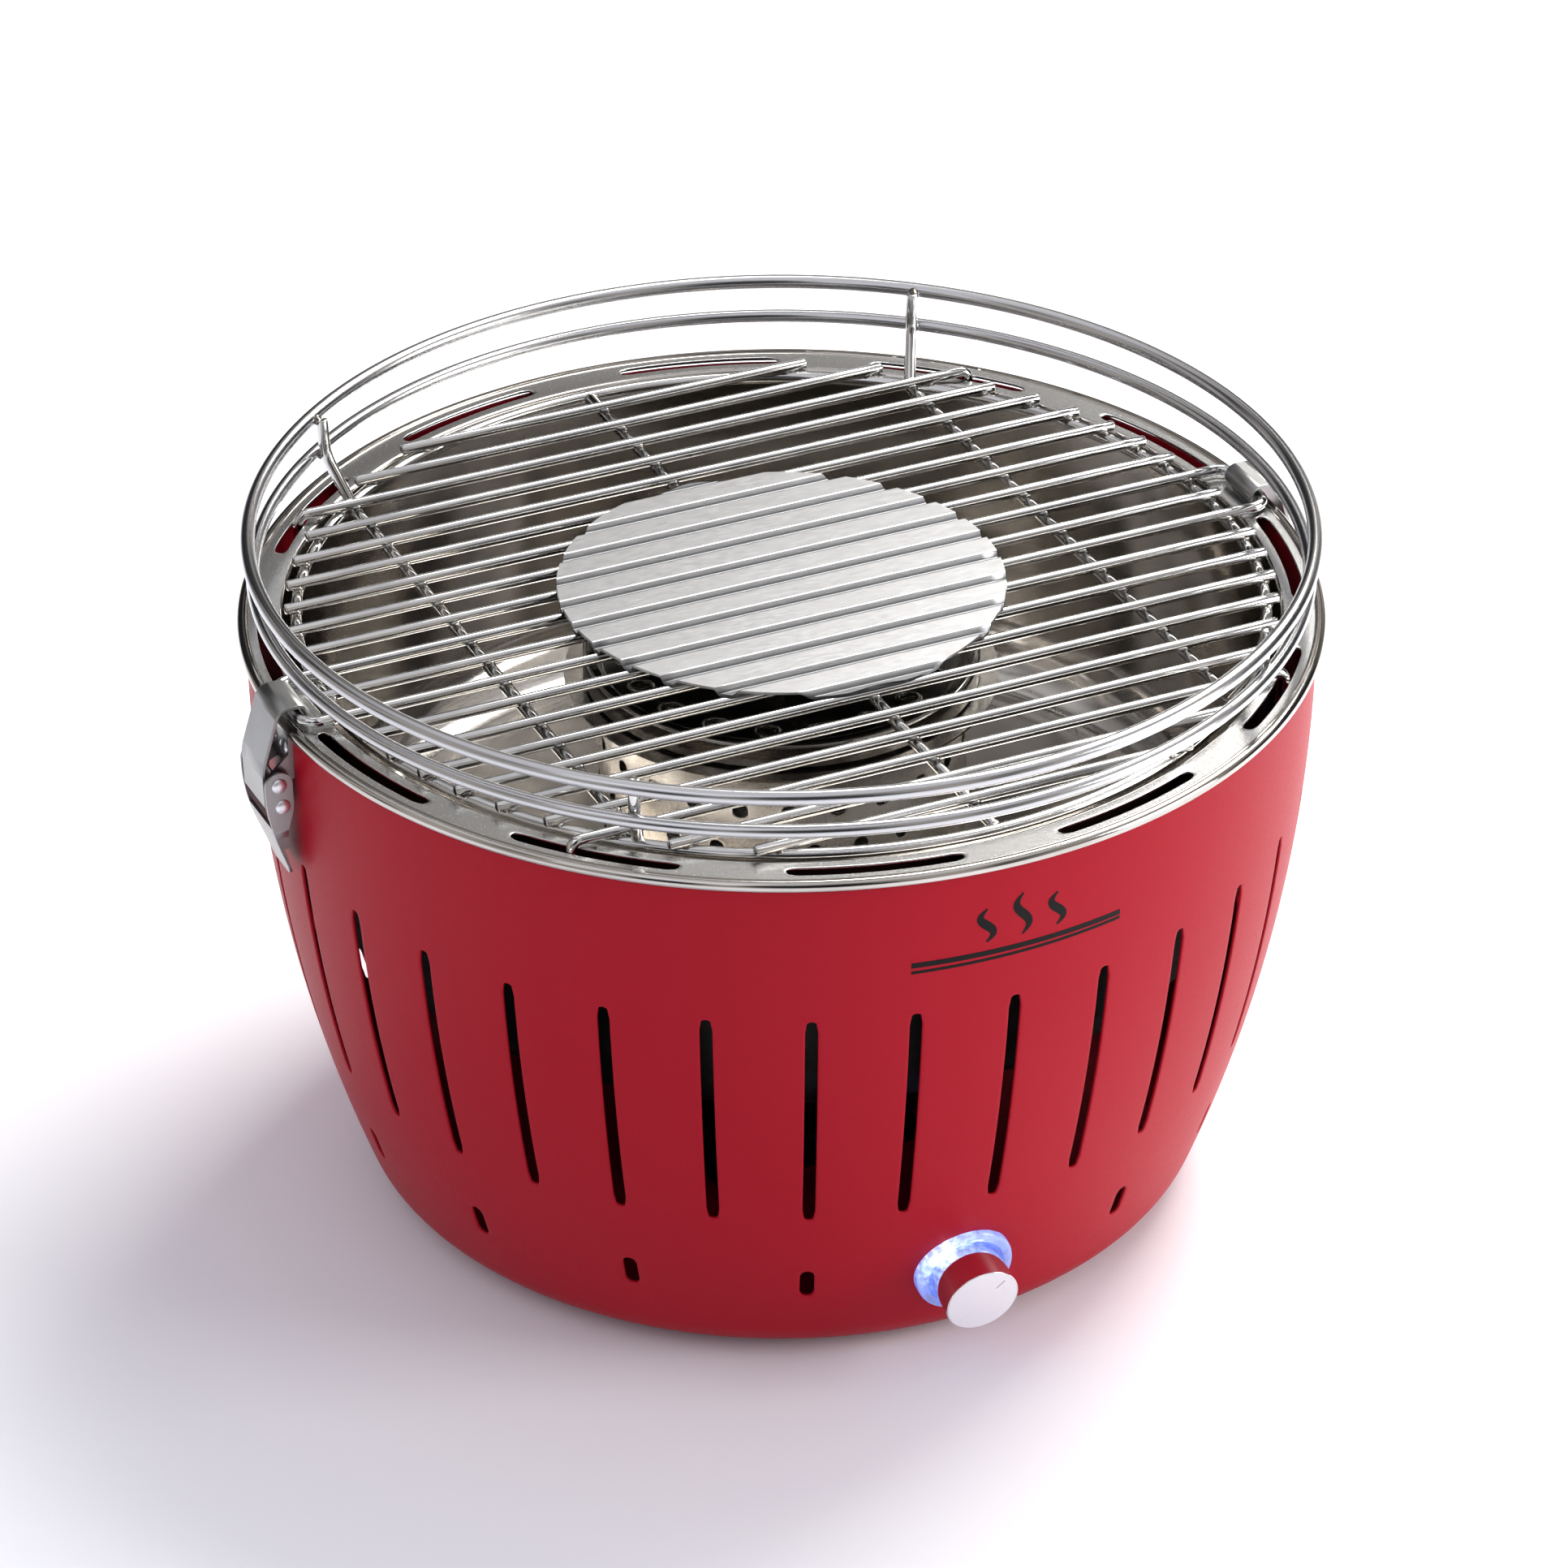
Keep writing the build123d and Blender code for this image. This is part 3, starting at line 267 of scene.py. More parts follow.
def add_turned(shape, profile, sides=96, place=None, closed=False):
    """Shape turned about Z from (radius, height) pairs, then put in place."""
    rings = []
    for r, z in profile:
        points = [Vector((r * cos(2 * pi * k / sides), r * sin(2 * pi * k / sides), z)) for k in range(sides)]
        rings.append(shape.ring([place @ p for p in points] if place else points))
    for first, second in zip(rings, rings[1:]):
        shape.bridge(first, second)
    if closed:
        shape.bridge(rings[-1], rings[0])


class TurnedSheet:
    """Even sheet turned about Z. A place on it is an angle, a distance along the profile and a depth."""

    def __init__(self, profile):
        self.profile = [Vector(p) for p in profile]
        self.along = [0.0]
        for a, b in zip(self.profile, self.profile[1:]):
            self.along.append(self.along[-1] + (b - a).length)
        runs = [(b - a).normalized() for a, b in zip(self.profile, self.profile[1:])]
        tangents = [runs[0]] + [(a + b).normalized() for a, b in zip(runs, runs[1:])] + [runs[-1]]
        self.normals = [Vector((t.y, -t.x)) for t in tangents]

    def section(self, s):
        """Point and outward direction in the plane of the profile."""
        last = len(self.along) - 2
        i = next((i for i in range(last) if s < self.along[i + 1]), last)
        share = (s - self.along[i]) / (self.along[i + 1] - self.along[i])
        point = self.profile[i].lerp(self.profile[i + 1], share)
        return point, self.normals[i].lerp(self.normals[i + 1], share).normalized()

    def at_height(self, z):
        """Distance along the profile at which it rises through a height."""
        for i, (a, b) in enumerate(zip(self.profile, self.profile[1:])):
            if min(a.y, b.y) <= z <= max(a.y, b.y) and abs(a.y - b.y) > 1e-9:
                return self.along[i] + (z - a.y) / (b.y - a.y) * (self.along[i + 1] - self.along[i])
        raise ValueError(f"the profile doesn't reach {z}")

    def place(self, angle, s, depth=0.0):
        point, normal = self.section(s)
        point = point - normal * depth
        return Vector((point.x * cos(angle), point.x * sin(angle), point.y))


def slot_loop(half_u, half_s, radius, across, along):
    """Core point and outward direction for each point round a slot, in step with its patch's border."""
    corners = [Vector(c) for c in ((-half_u, -half_s), (half_u, -half_s), (half_u, half_s), (-half_u, half_s))]
    arc = radius * pi / 4
    loop = []
    for quarter in range(4):
        a, b = corners[quarter], corners[(quarter + 1) % 4]
        straight = (b - a).length
        count = along if quarter % 2 else across
        for i in range(count):
            d = (2 * arc + straight) * i / count
            core = a if d < arc else b if d > arc + straight else a.lerp(b, (d - arc) / max(straight, 1e-9))
            turn = d / radius if d < arc else pi / 4 + max(d - arc - straight, 0.0) / radius
            turn += radians(225 + 90 * quarter)
            loop.append((core, Vector((cos(turn), sin(turn)))))
    return loop


def add_pierced(shape, sheet, wall, columns, turn, bands, finish_of=None):
    """Closed sheet turned about Z, with a hole of rounded lips in each sector of its bands."""
    rows, banded = [], []
    inside = [s for s in sheet.along if not any(b["low"] - 0.6 < s < b["high"] + 0.6 for b in bands)]
    for band in bands:
        tall = band["high"] - band["low"]
        rows += [band["low"] + tall * i / band["rows"] for i in range(band["rows"] + 1)]
    rows = sorted(set(rows + inside))
    numbers = {}
    step = 2 * pi / columns

    def grid(i, j, layer):
        key = (i, j % columns, layer)
        if key not in numbers:
            numbers[key] = shape.ring([sheet.place(turn + step * (j % columns), rows[i], wall * layer)])[0]
        return numbers[key]

    def cell(i, j):
        for layer in (0, 1):
            if finish_of:
                shape.finish = finish_of(sheet.section((rows[i] + rows[i + 1]) / 2)[0], layer)
            shape.face([grid(i + up, j + on, layer) for up, on in ((0, 0), (0, 1), (1, 1), (1, 0))])

    for band in bands:
        low = min(range(len(rows)), key=lambda i: abs(rows[i] - band["low"]))
        high = low + band["rows"]
        banded += range(low, high)
        wide = band["wide"]
        middle = (band["low"] + band["high"]) / 2
        loop = slot_loop(*band["hole"], wide, band["rows"])
        taken = set()
        for first in band["starts"]:
            taken |= {j % columns for j in range(first, first + wide)}
            border = [(low, first + j) for j in range(wide)]
            border += [(low + i, first + wide) for i in range(band["rows"])]
            border += [(high, first + wide - j) for j in range(wide)]
            border += [(high - i, first) for i in range(band["rows"])]
            centre = turn + step * (first + wide / 2)

            def spread(share, grow, depth):
                ring = []
                for (i, j), (core, way) in zip(border, loop):
                    hole = core + way * (band["hole"][2] + grow)
                    reach = max(sheet.section(middle + hole.y)[0].x, 1e-6)
                    here = Vector((hole.x / reach, hole.y))
                    there = Vector((step * (j - first - wide / 2), rows[i] - middle))
                    spot = here.lerp(there, share)
                    ring.append(sheet.place(centre + spot.x, middle + spot.y, depth))
                return shape.ring(ring)

            shares = (0.7, 0.42, 0.22, 0.08)
            lip = band["lip"]
            rings = [[grid(i, j, 0) for i, j in border]]
            rings += [spread(share, lip[0][0], lip[0][1]) for share in shares]
            rings += [spread(0.0, grow, depth) for grow, depth in lip]
            rings += [spread(share, lip[-1][0], lip[-1][1]) for share in reversed(shares)]
            rings += [[grid(i, j, 1) for i, j in border]]
            for k, (a, b) in enumerate(zip(rings, rings[1:])):
                if finish_of:
                    shape.finish = finish_of(sheet.section(middle)[0], 0 if k < len(rings) - 5 else 1)
                shape.bridge(a, b)
        for i in range(low, high):
            for j in set(range(columns)) - taken:
                cell(i, j)
    for i in range(len(rows) - 1):
        if i not in banded:
            for j in range(columns):
                cell(i, j)
    for i in (0, len(rows) - 1):
        shape.bridge([grid(i, j, 0) for j in range(columns)], [grid(i, j, 1) for j in range(columns)])


def round_lip(radius, wall, raise_by=0.0):
    """How far a hole has opened at each depth, for an edge rounded on both faces."""
    turns = [radians(a) for a in (0, 30, 60, 90)]
    outside = [(radius * (1 - sin(a)), radius * (1 - cos(a)) - raise_by) for a in turns]
    inside = [(radius * (1 - cos(a)), wall - radius * (1 - sin(a))) for a in turns]
    return outside + inside


def add_lump(shape, centre, half, seed, sides=10, rings=6):
    """Small uneven bead, as a weld leaves it."""
    layers = []
    for i in range(rings + 1):
        up = pi * i / rings
        points = []
        for k in range(sides):
            turn = 2 * pi * k / sides
            way = Vector((sin(up) * cos(turn), sin(up) * sin(turn), cos(up)))
            grow = 1 + 0.22 * noise.noise(way * 1.7 + Vector((seed * 3.1, seed * 1.3, 0)))
            points.append(centre + Vector((way.x * half[0], way.y * half[1], way.z * half[2])) * grow)
        layers.append(shape.ring(points))
    for a, b in zip(layers, layers[1:]):
        shape.bridge(a, b)


# ==== Materials ===============================================================================
def linear(colour):
    """Linear red, green, blue and alpha of an sRGB hex colour."""
    values = [int(colour[i:i + 2], 16) / 255 for i in (0, 2, 4)]
    return [v / 12.92 if v <= 0.04045 else ((v + 0.055) / 1.055) ** 2.4 for v in values] + [1.0]


def add_node(tree, kind, settings=(), links=()):
    """Adds a shader node. Settings name its inputs or properties, and links join outputs to its inputs."""
    made = tree.nodes.new("ShaderNode" + kind)
    for key, value in dict(settings).items():
        if isinstance(key, int) or key in made.inputs:
            made.inputs[key].default_value = value
        else:
            setattr(made, key, value)
    for key, source in dict(links).items():
        tree.links.new(source, made.inputs[key])
    return made


def start_material(name, settings):
    """A material with its shader set, its node tree, its shader and the piece's own coordinates."""
    made = bpy.data.materials.new(name)
    made.use_nodes = True
    tree = made.node_tree
    shader = tree.nodes["Principled BSDF"]
    for key, value in settings.items():
        shader.inputs[key].default_value = value
    place = add_node(tree, "TexCoord").outputs["Object"]
    return made, tree, shader, place


def add_grain(tree, shader, place, size, stretch=(1, 1, 1), rough=(0.3, 0.4), bump=0.0, detail=4.0):
    """Noise of a real size in millimetres that varies the roughness and lifts the surface by bump mm."""
    spread = add_node(tree, "Mapping", {"Scale": stretch}, {"Vector": place}).outputs[0]
    grain = add_node(tree, "TexNoise", {"Scale": 1 / (size * MM), "Detail": detail, "Roughness": 0.6},
                     {"Vector": spread}).outputs["Fac"]
    add_node(tree, "MapRange", {"From Min": 0.3, "From Max": 0.7, "To Min": rough[0], "To Max": rough[1]},
             {"Value": grain})
    tree.links.new(tree.nodes[-1].outputs[0], shader.inputs["Roughness"])
    if bump:
        lift = add_node(tree, "Bump", {"Strength": 1.0, "Distance": bump * MM}, {"Height": grain})
        tree.links.new(lift.outputs[0], shader.inputs["Normal"])
    return grain


def add_tint(tree, shader, place, size, colours, share=(0.35, 0.65), stretch=(1, 1, 1), base=None):
    """Slow change between two colours over patches of a real size in millimetres."""
    spread = add_node(tree, "Mapping", {"Scale": stretch}, {"Vector": place}).outputs[0]
    patch = add_node(tree, "TexNoise", {"Scale": 1 / (size * MM), "Detail": 3.0}, {"Vector": spread})
    ramp = add_node(tree, "MapRange", {"From Min": share[0], "From Max": share[1]},
                    {"Value": patch.outputs["Fac"]})
    mix = add_node(tree, "Mix", {"data_type": "RGBA", 6: linear(colours[0]), 7: linear(colours[1])},
                   {0: ramp.outputs[0]})
    tree.links.new(mix.outputs[2], shader.inputs["Base Color"])
    return mix


def turned_place(tree, place, reach):
    """Coordinates round the grill's axis: metres round at a reach in millimetres, radius and height."""
    split = add_node(tree, "SeparateXYZ", {}, {0: place})
    turn = add_node(tree, "Math", {"operation": "ARCTAN2"},
                    {0: split.outputs[1], 1: split.outputs[0]}).outputs[0]
    turn = add_node(tree, "Math", {"operation": "MULTIPLY", 1: reach * MM}, {0: turn}).outputs[0]
    flat = add_node(tree, "VectorMath", {"operation": "MULTIPLY", 1: (1, 1, 0)}, {0: place}).outputs[0]
    far = add_node(tree, "VectorMath", {"operation": "LENGTH"}, {0: flat}).outputs["Value"]
    return add_node(tree, "CombineXYZ", {}, {0: turn, 1: far, 2: split.outputs[2]}).outputs[0]


def powder_coated_steel(colour):
    """Steel under a matt red powder coat: a soft, even sheen over a faint orange peel."""
    made, tree, shader, place = start_material("powder_coated_steel", {"Specular IOR Level": 0.12, "IOR": 1.5})
    add_tint(tree, shader, place, 60, (colour, colour), share=(0.3, 0.7))
    # Orange peel is about 0.5 mm across; it is drawn 1.1 mm across so that it shows.
    add_grain(tree, shader, place, 1.1, rough=(0.4, 0.47), bump=0.012)
    return made


def polished_stainless(name="polished_stainless_bowl"):
    """Deep-drawn stainless steel, polished: a mirror whose upright ripples pull reflections into streaks."""
    made, tree, shader, place = start_material(name, {"Metallic": 1.0})
    add_tint(tree, shader, place, 50, ("B9B4AE", "CFCBC6"))
    wrap = turned_place(tree, place, 155)
    # Draw ripples are about 30 mm wide and run up the wall.
    wide = add_node(tree, "Mapping", {"Scale": (1, 0.3, 0.2)}, {"Vector": wrap}).outputs[0]
    ripple = add_node(tree, "TexNoise", {"Scale": 1 / (30 * MM), "Detail": 0.0},
                      {"Vector": wide}).outputs["Fac"]
    lift = add_node(tree, "Bump", {"Strength": 1.0, "Distance": 0.3 * MM}, {"Height": ripple})
    fine = add_node(tree, "TexNoise", {"Scale": 1 / (1.5 * MM), "Detail": 3.0}, {"Vector": wrap})
    rough = add_node(tree, "MapRange", {"To Min": 0.08, "To Max": 0.14}, {"Value": fine.outputs["Fac"]})
    tree.links.new(rough.outputs[0], shader.inputs["Roughness"])
    tree.links.new(lift.outputs[0], shader.inputs["Normal"])
    return made


def steel(name, colour, size, rough, bump=0.0, stretch=(1, 1, 1), darker=None):
    """Bare steel of a given colour, with grain of a real size in millimetres."""
    made, tree, shader, place = start_material(name, {"Metallic": 1.0})
    add_tint(tree, shader, place, 22, (darker or colour, colour))
    add_grain(tree, shader, place, size, stretch=stretch, rough=rough, bump=bump)
    return made


def grooved_plate():
    """Cold-rolled sheet with a fine pressed grain, nearly white under soft light, with painted shade darkening
    its grooves.
    """
    made = steel("cold_rolled_plate", "CFCFD1", 0.5, (0.3, 0.38), 0.003, stretch=(0.15, 1, 1))
    tree = made.node_tree
    shader = tree.nodes["Principled BSDF"]
    height = add_node(tree, "SeparateXYZ", {}, {0: tree.nodes["Texture Coordinate"].outputs["Object"]})
    # Painted shade: the colour goes to dark grey 747577 down in the grooves, by height over the plate.
    groove_shade = add_node(tree, "MapRange", {"From Min": (PLATE_Z + PLATE_T + 0.3) * MM,
                                                 "From Max": (PLATE_Z + GROOVE_DEPTH + PLATE_T - 0.1) * MM},
                    {"Value": height.outputs[2]}).outputs[0]
    mix = add_node(tree, "Mix", {"data_type": "RGBA", 6: linear("747577")},
                   {0: groove_shade, 7: shader.inputs["Base Color"].links[0].from_socket})
    tree.links.new(mix.outputs[2], shader.inputs["Base Color"])
    return made


def plastic(name, colour, size, rough, bump, ior=1.49, specular=0.5):
    """Moulded plastic or rubber, with the fine grain of its mould."""
    made, tree, shader, place = start_material(name, {"IOR": ior, "Specular IOR Level": specular})
    add_tint(tree, shader, place, 15, (colour, colour))
    add_grain(tree, shader, place, size, rough=rough, bump=bump)
    return made


def moulded_light_ring(glow):
    """Clear moulded acrylic over a small lamp: an even blue glow with streaks, and a painted highlight, whiter
    and brighter, at its upper left.
    """
    made, tree, shader, place = start_material("moulded_acrylic_ring", {
        "Base Color": linear("AFC1F7"), "IOR": 1.49, "Roughness": 0.12, "Transmission Weight": 0.35})
    # Middle of the painted highlight at the ring's upper left; the even blue glow elsewhere is the ring's own
    # light.
    lamp = KNOB_FRAME @ Vector((-9.0, 11.5, 2.0))
    lamp = tuple(v * MM for v in lamp)
    near = add_node(tree, "VectorMath", {"operation": "DISTANCE", 1: lamp}, {0: place}).outputs["Value"]
    highlight_share = add_node(tree, "MapRange", {"From Min": 3 * MM, "From Max": 30 * MM, "To Min": 1.0, "To Max": 0.0},
                    {"Value": near}).outputs[0]
    highlight_share = add_node(tree, "Math", {"operation": "POWER", 1: 2.2}, {0: highlight_share}).outputs[0]
    streak = add_node(tree, "TexNoise", {"Scale": 1 / (2.2 * MM), "Detail": 2.0}, {"Vector": place})
    vary = add_node(tree, "MapRange", {"From Min": 0.35, "From Max": 0.7, "To Min": 0.35, "To Max": 1.5},
                    {"Value": streak.outputs["Fac"]}).outputs[0]
    power = add_node(tree, "Math", {"operation": "MULTIPLY_ADD", 1: 1.6, 2: 0.3}, {0: highlight_share}).outputs[0]
    power = add_node(tree, "Math", {"operation": "MULTIPLY"}, {0: power, 1: vary}).outputs[0]
    # The glow turns whiter towards the painted highlight.
    glow_with_highlight = add_node(tree, "Mix", {"data_type": "RGBA", 6: linear(glow), 7: linear("BFD6FF")}, {0: highlight_share})
    tree.links.new(glow_with_highlight.outputs[2], shader.inputs["Emission Color"])
    tree.links.new(power, shader.inputs["Emission Strength"])
    return made


def make_materials():
    """Every finish, by the slot that it belongs to."""
    colours = bpy.context.scene.grill_colours
    bright = colours.steel
    return {
        "red_bowl": powder_coated_steel(colours.paint),
        "polished_bowl": polished_stainless(),
        # Rolled and annealed sheet: softer reflections than the polished bowl.
        "flange": steel("bright_annealed_flange", "C9C9C9", 0.8, (0.2, 0.28), 0.002),
        # Painted shade: the inner bowl's hidden side is dark grey, so that the vents look black inside.
        "bowl_back_shade": steel("dark_painted_shade_steel", "3A3938", 1.5, (0.5, 0.65), 0.01, darker="2C2B2A"),
        # Wire that was welded and then electropolished: sharp bright lines.
        "grate_wire": steel("electropolished_wire", bright, 0.7, (0.06, 0.13), 0.001, darker="C4C4C4"),
        # Drawn wire with a satin finish: wide soft highlights.
        "guard_wire": steel("satin_drawn_wire", "CACACC", 0.4, (0.16, 0.22), 0.0008),
        "weld": steel("welded_steel", "9A9690", 0.6, (0.2, 0.4), 0.05, darker="5F5A54"),
        "plate_steel": grooved_plate(),
        "container_steel": steel("bright_sheet_steel", "C2BEB8", 0.8, (0.14, 0.24), 0.004, darker="A7A29B"),
        "lid_steel": steel("spun_lid_steel", "8C8883", 0.8, (0.12, 0.2), 0.004, darker="6E6A66"),
        # Tumbled in stones after pressing: an even grey without direction.
        "latch_steel": steel("tumbled_stainless", "A3A3A3", 0.5, (0.3, 0.4), 0.003, darker="989898"),
        "knob_chrome": steel("chrome_plated_knob", "E2E2E6", 1.2, (0.05, 0.09)),
        "knob_cap": steel("anodised_aluminium_cap", "EDEDF2", 0.25, (0.36, 0.44), 0.002),
        "clear_ring": moulded_light_ring(colours.glow),
        "black_plastic": plastic("moulded_abs", "131314", 0.6, (0.4, 0.55), 0.02),
        "duct_steel": steel("rolled_duct_steel", "A5A5A5", 0.8, (0.25, 0.38), 0.006),
        "motor_steel": steel("zinc_plated_steel", "A8A9A2", 1.0, (0.28, 0.42), 0.01, darker="8F9088"),
        "cell_wrap": plastic("printed_cell_film", "22262B", 3.0, (0.2, 0.3), 0.004, specular=0.6),
        "foot_rubber": plastic("moulded_rubber", "0E0E0E", 0.8, (0.6, 0.75), 0.03, ior=1.52),
        "print": plastic("screen_printed_ink", colours.print_ink, 0.5, (0.45, 0.55), 0.002, specular=0.15),
    }


FINISH = {}


def dress(nodes, edge=None):
    """Gives CAD nodes their finish and rounds their edges a little."""
    slots = {part["node"]: part["material_slot"] for part in frame["record"]["subparts"]}
    for name in nodes:
        piece = frame["nodes"][name]
        piece.data.materials.clear()
        piece.data.materials.append(FINISH[slots[name]])
        weld = piece.modifiers.new("weld", "WELD")
        weld.merge_threshold = 0.002 * MM
        if edge:
            bevel = piece.modifiers.new("edges", "BEVEL")
            bevel.width = edge
            bevel.segments = 2
            bevel.angle_limit = radians(35)
            bevel.harden_normals = True


def outer_profile():
    """Radius and height along the outer bowl's outside, from the middle of its bottom to its mouth."""
    a = Vector((BOTTOM_RADIUS, FOOT_HEIGHT))
    b = Vector((WAIST_RADIUS, FOOT_HEIGHT + WAIST_SHARE * (MOUTH_Z - FOOT_HEIGHT)))
    c = Vector((MOUTH_RADIUS, MOUTH_Z))
    double = 2 * (a.x * (b.y - c.y) + b.x * (c.y - a.y) + c.x * (a.y - b.y))
    squares = [p.length_squared for p in (a, b, c)]
    centre = Vector((
        (squares[0] * (b.y - c.y) + squares[1] * (c.y - a.y) + squares[2] * (a.y - b.y)) / double,
        (squares[0] * (c.x - b.x) + squares[1] * (a.x - c.x) + squares[2] * (b.x - a.x)) / double,
    ))
    radius = (a - centre).length
    corner_z = FOOT_HEIGHT + BOTTOM_ROUND
    corner = Vector((centre.x + sqrt((radius - BOTTOM_ROUND) ** 2 - (centre.y - corner_z) ** 2), corner_z))
    way = (corner - centre).normalized()
    profile = [(corner.x * share, FOOT_HEIGHT) for share in (0.0, 0.15, 0.3, 0.45, 0.6, 0.75, 0.9)]
    end = atan2(way.y, way.x)
    for k in range(13):
        turn = -pi / 2 + (end + pi / 2) * k / 12
        profile.append((corner.x + BOTTOM_ROUND * cos(turn), corner.y + BOTTOM_ROUND * sin(turn)))
    top = asin((MOUTH_Z - centre.y) / radius)
    for k in range(1, 41):
        turn = end + (top - end) * k / 40
        profile.append((centre.x + radius * cos(turn), centre.y + radius * sin(turn)))
    return profile


# ==== Pieces ==================================================================================
class GRILL_OT_outer_bowl(bpy.types.Operator):
    """Painted outer bowl with its vent slots, and the printed mark over the knob"""

    bl_idname = "grill.outer_bowl"
    bl_label = "Outer Bowl"

    def execute(self, context):
        lip = context.scene.grill_shape.lip / MM
        sheet = TurnedSheet(outer_profile())
        columns = 8 * VENT_COUNT
        turn = -pi / 2 - pi / VENT_COUNT
        margin = 7.0
        edges = round_lip(lip, OUTER_WALL)
        bands = []
        for low, high, half, rows, wide, starts in (
            (VENT_LOW, VENT_HIGH, VENT_HALF, 22, 8, [8 * step for step in range(VENT_COUNT)]),
            (SHORT_LOW, SHORT_HIGH, SHORT_HALF, 8, 16, [int(8 * step) - 4 for step in SHORT_STEPS]),
        ):
            start, end = sheet.at_height(low), sheet.at_height(high)
            bands.append({
                "low": start - margin, "high": end + margin, "rows": rows, "wide": wide, "starts": starts,
                "hole": (0.0, (end - start) / 2 - half, half), "lip": edges,
            })
        shape = Shape()
        add_pierced(shape, sheet, OUTER_WALL, columns, turn, bands)
        bowl = finish_piece(shape, "outer_bowl_shell", "bowl", "red_bowl", ["outer_bowl"], 50)
        self.open_bottom(bowl)
        self.add_mark(sheet)
        return {"FINISHED"}

    @staticmethod
    def open_bottom(bowl):
        """Cuts the battery box's opening in the bottom."""
        low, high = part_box("battery_box")
        cutter_mesh = bpy.data.meshes.new("opening")
        cutter = bmesh.new()
        bmesh.ops.create_cube(cutter, size=1.0)
        size = Vector((high.x - low.x, high.y - low.y, 0.02))
        bmesh.ops.transform(cutter, matrix=Matrix.Diagonal(size.to_4d()), verts=cutter.verts)
        cutter.to_mesh(cutter_mesh)
        cutter.free()
        tool = bpy.data.objects.new("opening", cutter_mesh)
        bpy.context.scene.collection.objects.link(tool)
        cut = bowl.modifiers.new("opening", "BOOLEAN")
        cut.object = tool
        cut.operation = "DIFFERENCE"
        bpy.context.view_layer.update()
        bowl.data = bpy.data.meshes.new_from_object(bowl.evaluated_get(bpy.context.evaluated_depsgraph_get()))
        bowl.modifiers.clear()
        bpy.data.objects.remove(tool)

    @staticmethod
    def add_mark(sheet):
        """Plain printed mark in place of a name: three wisps of heat over two long lines."""
        shape = Shape()
        raised = 0.06

        def stroke(points, widths):
            """Flat print along (round, up) points, thicker or thinner along its length."""
            rows = []
            for i, point in enumerate(points):
                ahead, behind = points[min(i + 1, len(points) - 1)], points[max(i - 1, 0)]
                way = (ahead - behind).normalized()
                side = Vector((-way.y, way.x)) * widths[i] / 2
                rows.append([self_place(point + side, raised), self_place(point - side, raised),
                             self_place(point - side, -0.3), self_place(point + side, -0.3)])
            rings = [shape.ring(row) for row in rows]
            for a, b in zip(rings, rings[1:]):
                shape.bridge(a, b)
            shape.face(rings[0])
            shape.face(rings[-1])

        def self_place(point, lift):
            reach = 172.0
            return sheet.place(-pi / 2 + point.x / reach, sheet.at_height(point.y), -lift)

        for low, high, start, end, width in ((MARK_LOW, MARK_LOW + 1.2, MARK_LEFT, MARK_RIGHT, 1.1),
                                             (MARK_LOW + 2.6, MARK_LOW + 3.2, MARK_LEFT, MARK_RIGHT, 1.9)):
            points = [Vector((start + (end - start) * k / 40, low + (high - low) * k / 40)) for k in range(41)]
            stroke(points, [width] * 41)
        middle = (MARK_LEFT + MARK_RIGHT) / 2
        for shift in (-12.0, 0.0, 12.0):
            tall = 15.0 if shift == 0.0 else 12.0
            points, widths = [], []
            for k in range(31):
                share = k / 30
                sway = 2.2 * sin(2 * pi * share)
                points.append(Vector((middle + shift + sway, MARK_LOW + 7.0 + tall * share)))
                widths.append(0.6 + 2.4 * sin(pi * min(max(share, 0.02), 0.98)))
            stroke(points, widths)
        finish_piece(shape, "printed_heat_mark", "bowl", None, finishes=["print"])


MARK_LEFT, MARK_RIGHT, MARK_LOW = -35.0, 37.0, 167.0


class GRILL_OT_inner_bowl(bpy.types.Operator):
    """Polished inner bowl with its curled rim and the slotted flange"""

    bl_idname = "grill.inner_bowl"
    bl_label = "Inner Bowl"

    def execute(self, context):
        lip = context.scene.grill_shape.rim_lip / MM
        curl = Vector((RIM_RADIUS - CURL_RADIUS, RIM_Z - CURL_RADIUS))
        turns = [radians(a) for a in range(-130, 101, 10)]
        profile = [curl + Vector((cos(a), sin(a))) * CURL_RADIUS for a in turns]
        profile += rounded_path([profile[-1] + Vector((-0.5, 0.05)), (173.3, FLANGE_Z), *INNER_CORNERS],
                                (0.9, 0.3, *INNER_ROUNDS), step=radians(6))
        sheet = TurnedSheet(profile)
        inward = zip(sheet.along, sheet.profile, sheet.profile[1:])
        middle = next(s + a.x - RIM_SLOT_RADIUS for s, a, b in inward if b.x < RIM_SLOT_RADIUS <= a.x)
        reach = 2.75
        band = {
            "low": middle - reach, "high": middle + reach, "rows": 4, "wide": 20,
            "starts": range(0, 20 * RIM_SLOTS, 20),
            "hole": (RIM_SLOT_RADIUS * radians(RIM_SLOT_ARC / 2), 0.0, RIM_SLOT_HALF),
            "lip": round_lip(lip, INNER_WALL),
        }
        shape = Shape()

        def finish_of(point, layer):
            if layer == 0:
                return 1 if point.y > FLANGE_Z - 0.2 and 162.5 < point.x < 172.4 else 0
            # Finish 2 paints the hidden side dark grey as painted shade.
            return 2 if point.x < 173.4 else 0

        add_pierced(shape, sheet, INNER_WALL, 20 * RIM_SLOTS, 0.0, [band], finish_of)
        finish_piece(shape, "inner_bowl_shell", "bowl", "polished_bowl", ["inner_bowl"], 50,
                     finishes=["polished_bowl", "flange", "bowl_back_shade"])
        return {"FINISHED"}


def post_spot(side, way, reach, height):
    """Where a post of the guard rings stands, at a reach from the grill's axis."""
    turn = radians(POST_ANGLE)
    return Vector((side * reach * cos(turn), way * reach * sin(turn), height))


